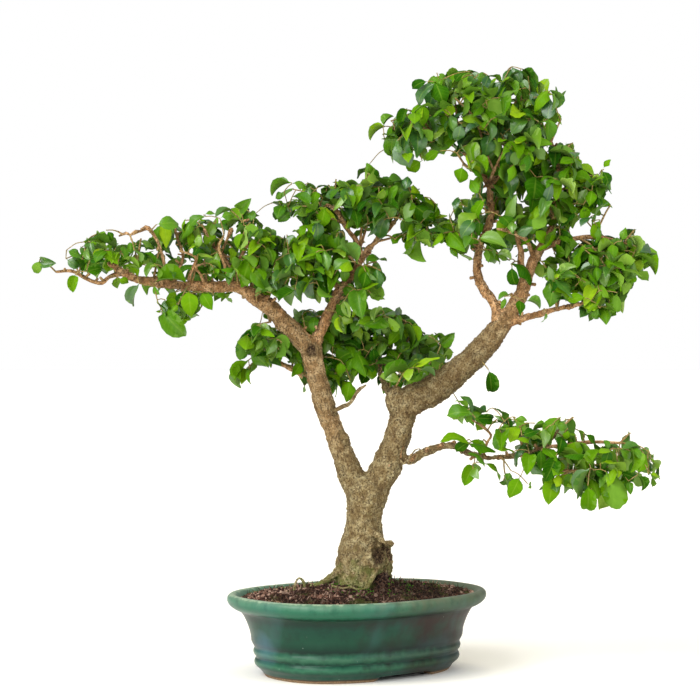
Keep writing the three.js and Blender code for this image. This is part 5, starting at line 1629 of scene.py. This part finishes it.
def leaf_shape(name, fold, dome, bend, wave, twist):
    """A leaf one unit long and one wide, with its start at the origin, its tip along +Y and its top up."""

    def on_blade(u, along, share):
        z = fold * abs(u) * share - dome * u * u * share + wave * u * u * math.sin(9 * along + 2 * u)
        turn = twist * max(along, 0)
        across = 0.5 * u * share
        x, z = across * math.cos(turn) - z * math.sin(turn), across * math.sin(turn) + z * math.cos(turn)
        if along < 0:
            return np.array((x, along, z))
        angle = bend * along
        return np.array((x, math.sin(angle) / bend + z * math.sin(angle),
                         z * math.cos(angle) - (1 - math.cos(angle)) / bend))

    rings, places = [], []
    for along, share in STATIONS:
        thick = LEAF_THICKNESS * (1.6 if along < 0.05 else 1)
        ring = [on_blade(u, along, share) + np.array((0, 0, top * thick)) for u, top in RING]
        places += [(u, along, 0) for u, _ in RING]
        rings.append(np.array(ring))
    points, faces = loft(rings, on_blade(0, -STALK, 0), on_blade(0, 1, 0))
    places += [(0, -STALK, 0), (0, 1, 0)]
    mesh = bpy.data.meshes.new(name)
    mesh.from_pydata(points.tolist(), [], faces)
    mesh.shade_smooth()
    store(mesh, "leaf_place", places, "FLOAT_VECTOR")
    # A ring has six sides, and its third and fourth are the underside.
    under = mesh.attributes.new("under", "FLOAT", "FACE")
    for face in mesh.polygons:
        under.data[face.index].value = float(face.index // (len(STATIONS) + 1) in (2, 3))
    rim = {i for i, place in enumerate(places) if abs(place[0]) == 1 or i >= len(places) - 2}
    sharp = mesh.attributes.new("sharp_edge", "BOOLEAN", "EDGE")
    for edge in mesh.edges:
        sharp.data[edge.index].value = all(i in rim for i in edge.vertices)
    return new_object(name, mesh)


shapes = [leaf_shape(*row) for row in (
    # name, fold, dome, bend, wave, twist
    ("even leaf", 0.1, 0.08, 0.4, 0.03, 0.0),
    ("folded leaf", 0.24, 0.0, 0.6, 0.025, 0.12),
    ("domed leaf", 0.0, 0.2, 0.7, 0.03, -0.12),
    ("wavy leaf", 0.1, 0.06, 0.6, 0.07, 0.1),
    ("arched leaf", 0.16, 0.12, 1.4, 0.04, 0.25),
    ("trough leaf", 0.4, 0.0, 1.0, 0.035, -0.3),
    ("curled leaf", 0.08, 0.26, 1.8, 0.05, -0.4),
    ("twisted leaf", 0.2, 0.1, 0.9, 0.07, 0.9),
)]
# The leaves that are placed one by one take only the first of these, which are the calmest.
CALM_SHAPES = 4
print(len(shapes[0].data.polygons), "faces in a leaf")

# %% The finish: privet leaves
# The upper face is waxy and mirrors the sky, the underside is paler and matt. Each leaf has its own green,
# from nearly black green to yellow green, a pale midrib and faint side veins.
leaf_finish, tree, place = new_material("waxy privet leaf")
sheen = stored(tree, "sheen")
under = stored(tree, "under")
blade = parts(tree, stored(tree, "leaf_place", "Vector"))
mottle = clouds_of(tree, place, 6, 3)
own = maths(tree, "MULTIPLY_ADD", mottle, 0.22, stored(tree, "tint"))
own = maths(tree, "SUBTRACT", own, 0.11)
top = ramp(tree, own, [
    (0.05, "#1D4E01"), (0.25, "#396902"), (0.45, "#558504"), (0.7, "#759D0A"), (0.95, "#AAC820")])
# Shining leaves are also painted a darker bluish green: a painted reflection of the sky.
top = blend(tree, maths(tree, "MULTIPLY", sheen, 0.4), top, "#1F4C3C")
off_rib = maths(tree, "ABSOLUTE", blade["X"])
rib = spread(tree, off_rib, 0.12, 0.03, 0, 0.3)
veins = maths(tree, "MULTIPLY_ADD", off_rib, -0.22, blade["Y"])
veins = maths(tree, "SINE", maths(tree, "MULTIPLY", veins, 50))
lines = maths(tree, "MAXIMUM", rib, spread(tree, veins, 0.75, 1, 0, 0.1))
top = blend(tree, lines, top, "#86A836")
below = ramp(tree, own, [(0.1, "#426A1C"), (0.5, "#648D2A"), (0.9, "#90B045")])
colour = blend(tree, under, top, below)
gloss = spread(tree, under, 0, 1, 0.32, 0.6)
shine = spread(tree, sheen, 0.1, 1, 0.02, 1)
folds = maths(tree, "MULTIPLY_ADD", lines, -1, mottle)
close_finish(tree, colour, gloss, (folds, 0.4, 0.0005), specular=shine)

# %% Geometry Nodes that set the leaves, and that give the twigs their thickness
sprays, start = new_tree("leaf sprays", [
    ("surface", "Geometry"), ("finish", "Material")] + [(f"leaf {n}", "Object") for n in range(len(shapes))])
choice = add(sprays, "GeometryNodeJoinGeometry")
for n in range(len(shapes)):
    one = add(sprays, "GeometryNodeObjectInfo", {"Object": start.outputs[f"leaf {n}"], "As Instance": True})
    sprays.links.new(one.outputs["Geometry"], choice.inputs[0])
set_leaves = add(sprays, "GeometryNodeInstanceOnPoints", {
    "Points": start.outputs["surface"], "Instance": choice, "Pick Instance": True,
    "Instance Index": named(sprays, "shape", "INT"), "Scale": named(sprays, "size", "FLOAT_VECTOR"),
    "Rotation": add(sprays, "FunctionNodeEulerToRotation", {"Euler": named(sprays, "turn", "FLOAT_VECTOR")})})
close_tree(sprays, set_leaves, start.outputs["finish"])

sweep, start = new_tree("twig sweep", [("surface", "Geometry"), ("finish", "Material"), ("sides", "Int")])
curves = add(sweep, "GeometryNodeMeshToCurve", {"Mesh": start.outputs["surface"]})
profile = add(sweep, "GeometryNodeCurvePrimitiveCircle", {
    "Resolution": start.outputs["sides"], "Radius": 1.0})
width = maths(sweep, "MULTIPLY", named(sweep, "girth", "FLOAT"), MM)
bars = add(sweep, "GeometryNodeCurveToMesh", {
    "Curve": curves, "Profile Curve": profile, "Scale": width, "Fill Caps": True})
smooth = add(sweep, "GeometryNodeSetShadeSmooth", {"Geometry": bars})
close_tree(sweep, smooth, start.outputs["finish"])

# %% The leafy pads
for pad, rows in leaves.items():
    turns, sizes = [], []
    for base, ahead, face, length, share, *_ in rows:
        face = unit(face - ahead * face.dot(ahead))
        turn = Matrix(np.column_stack((np.cross(ahead, face), ahead, face)).tolist())
        turns.append(tuple(turn.to_euler()))
        sizes.append((share * length * MM, length * MM, length * MM))
    mesh = bpy.data.meshes.new(pad)
    mesh.from_pydata([tuple(row[0] * MM) for row in rows], [], [])
    store(mesh, "turn", turns, "FLOAT_VECTOR")
    store(mesh, "size", sizes, "FLOAT_VECTOR")
    store(mesh, "tint", [row[5] for row in rows])
    store(mesh, "sheen", [row[6] for row in rows])
    mesh.attributes.new("shape", "INT", "POINT").data.foreach_set(
        "value", [rng.randrange(len(shapes) if row[7] else CALM_SHAPES) for row in rows])
    piece = new_object(f"{pad}_leaves", mesh)
    inputs = {f"leaf {n}": shape for n, shape in enumerate(shapes)}
    use_tree(piece, sprays, finish=leaf_finish, **inputs)
    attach(piece, "root")
    starts = tuple(group for group in SHOOTS if PAD_OF.get(group, group) == pad)
    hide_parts(*[name for name in frame["nodes"] if name.startswith(starts)])
    print(piece.name, len(rows), "leaves,", len(piece.data.polygons), "faces")
for shape in shapes:
    bpy.data.objects.remove(shape)

# %% The twigs that carry them
points = np.vstack(twigs)
edges, first = [], 0
for path in twigs:
    edges += [(i, i + 1) for i in range(first, first + len(path) - 1)]
    first += len(path)
mesh = bpy.data.meshes.new("leafy_twigs")
mesh.from_pydata((points[:, :3] * MM).tolist(), edges, [])
store(mesh, "girth", points[:, 3])
twig_piece = new_object("leafy_twigs", mesh)
use_tree(twig_piece, sweep, finish=bark, sides=TWIG_SIDES)
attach(twig_piece, "root")
print(len(twigs), "twigs,", len(twig_piece.data.polygons), "faces")
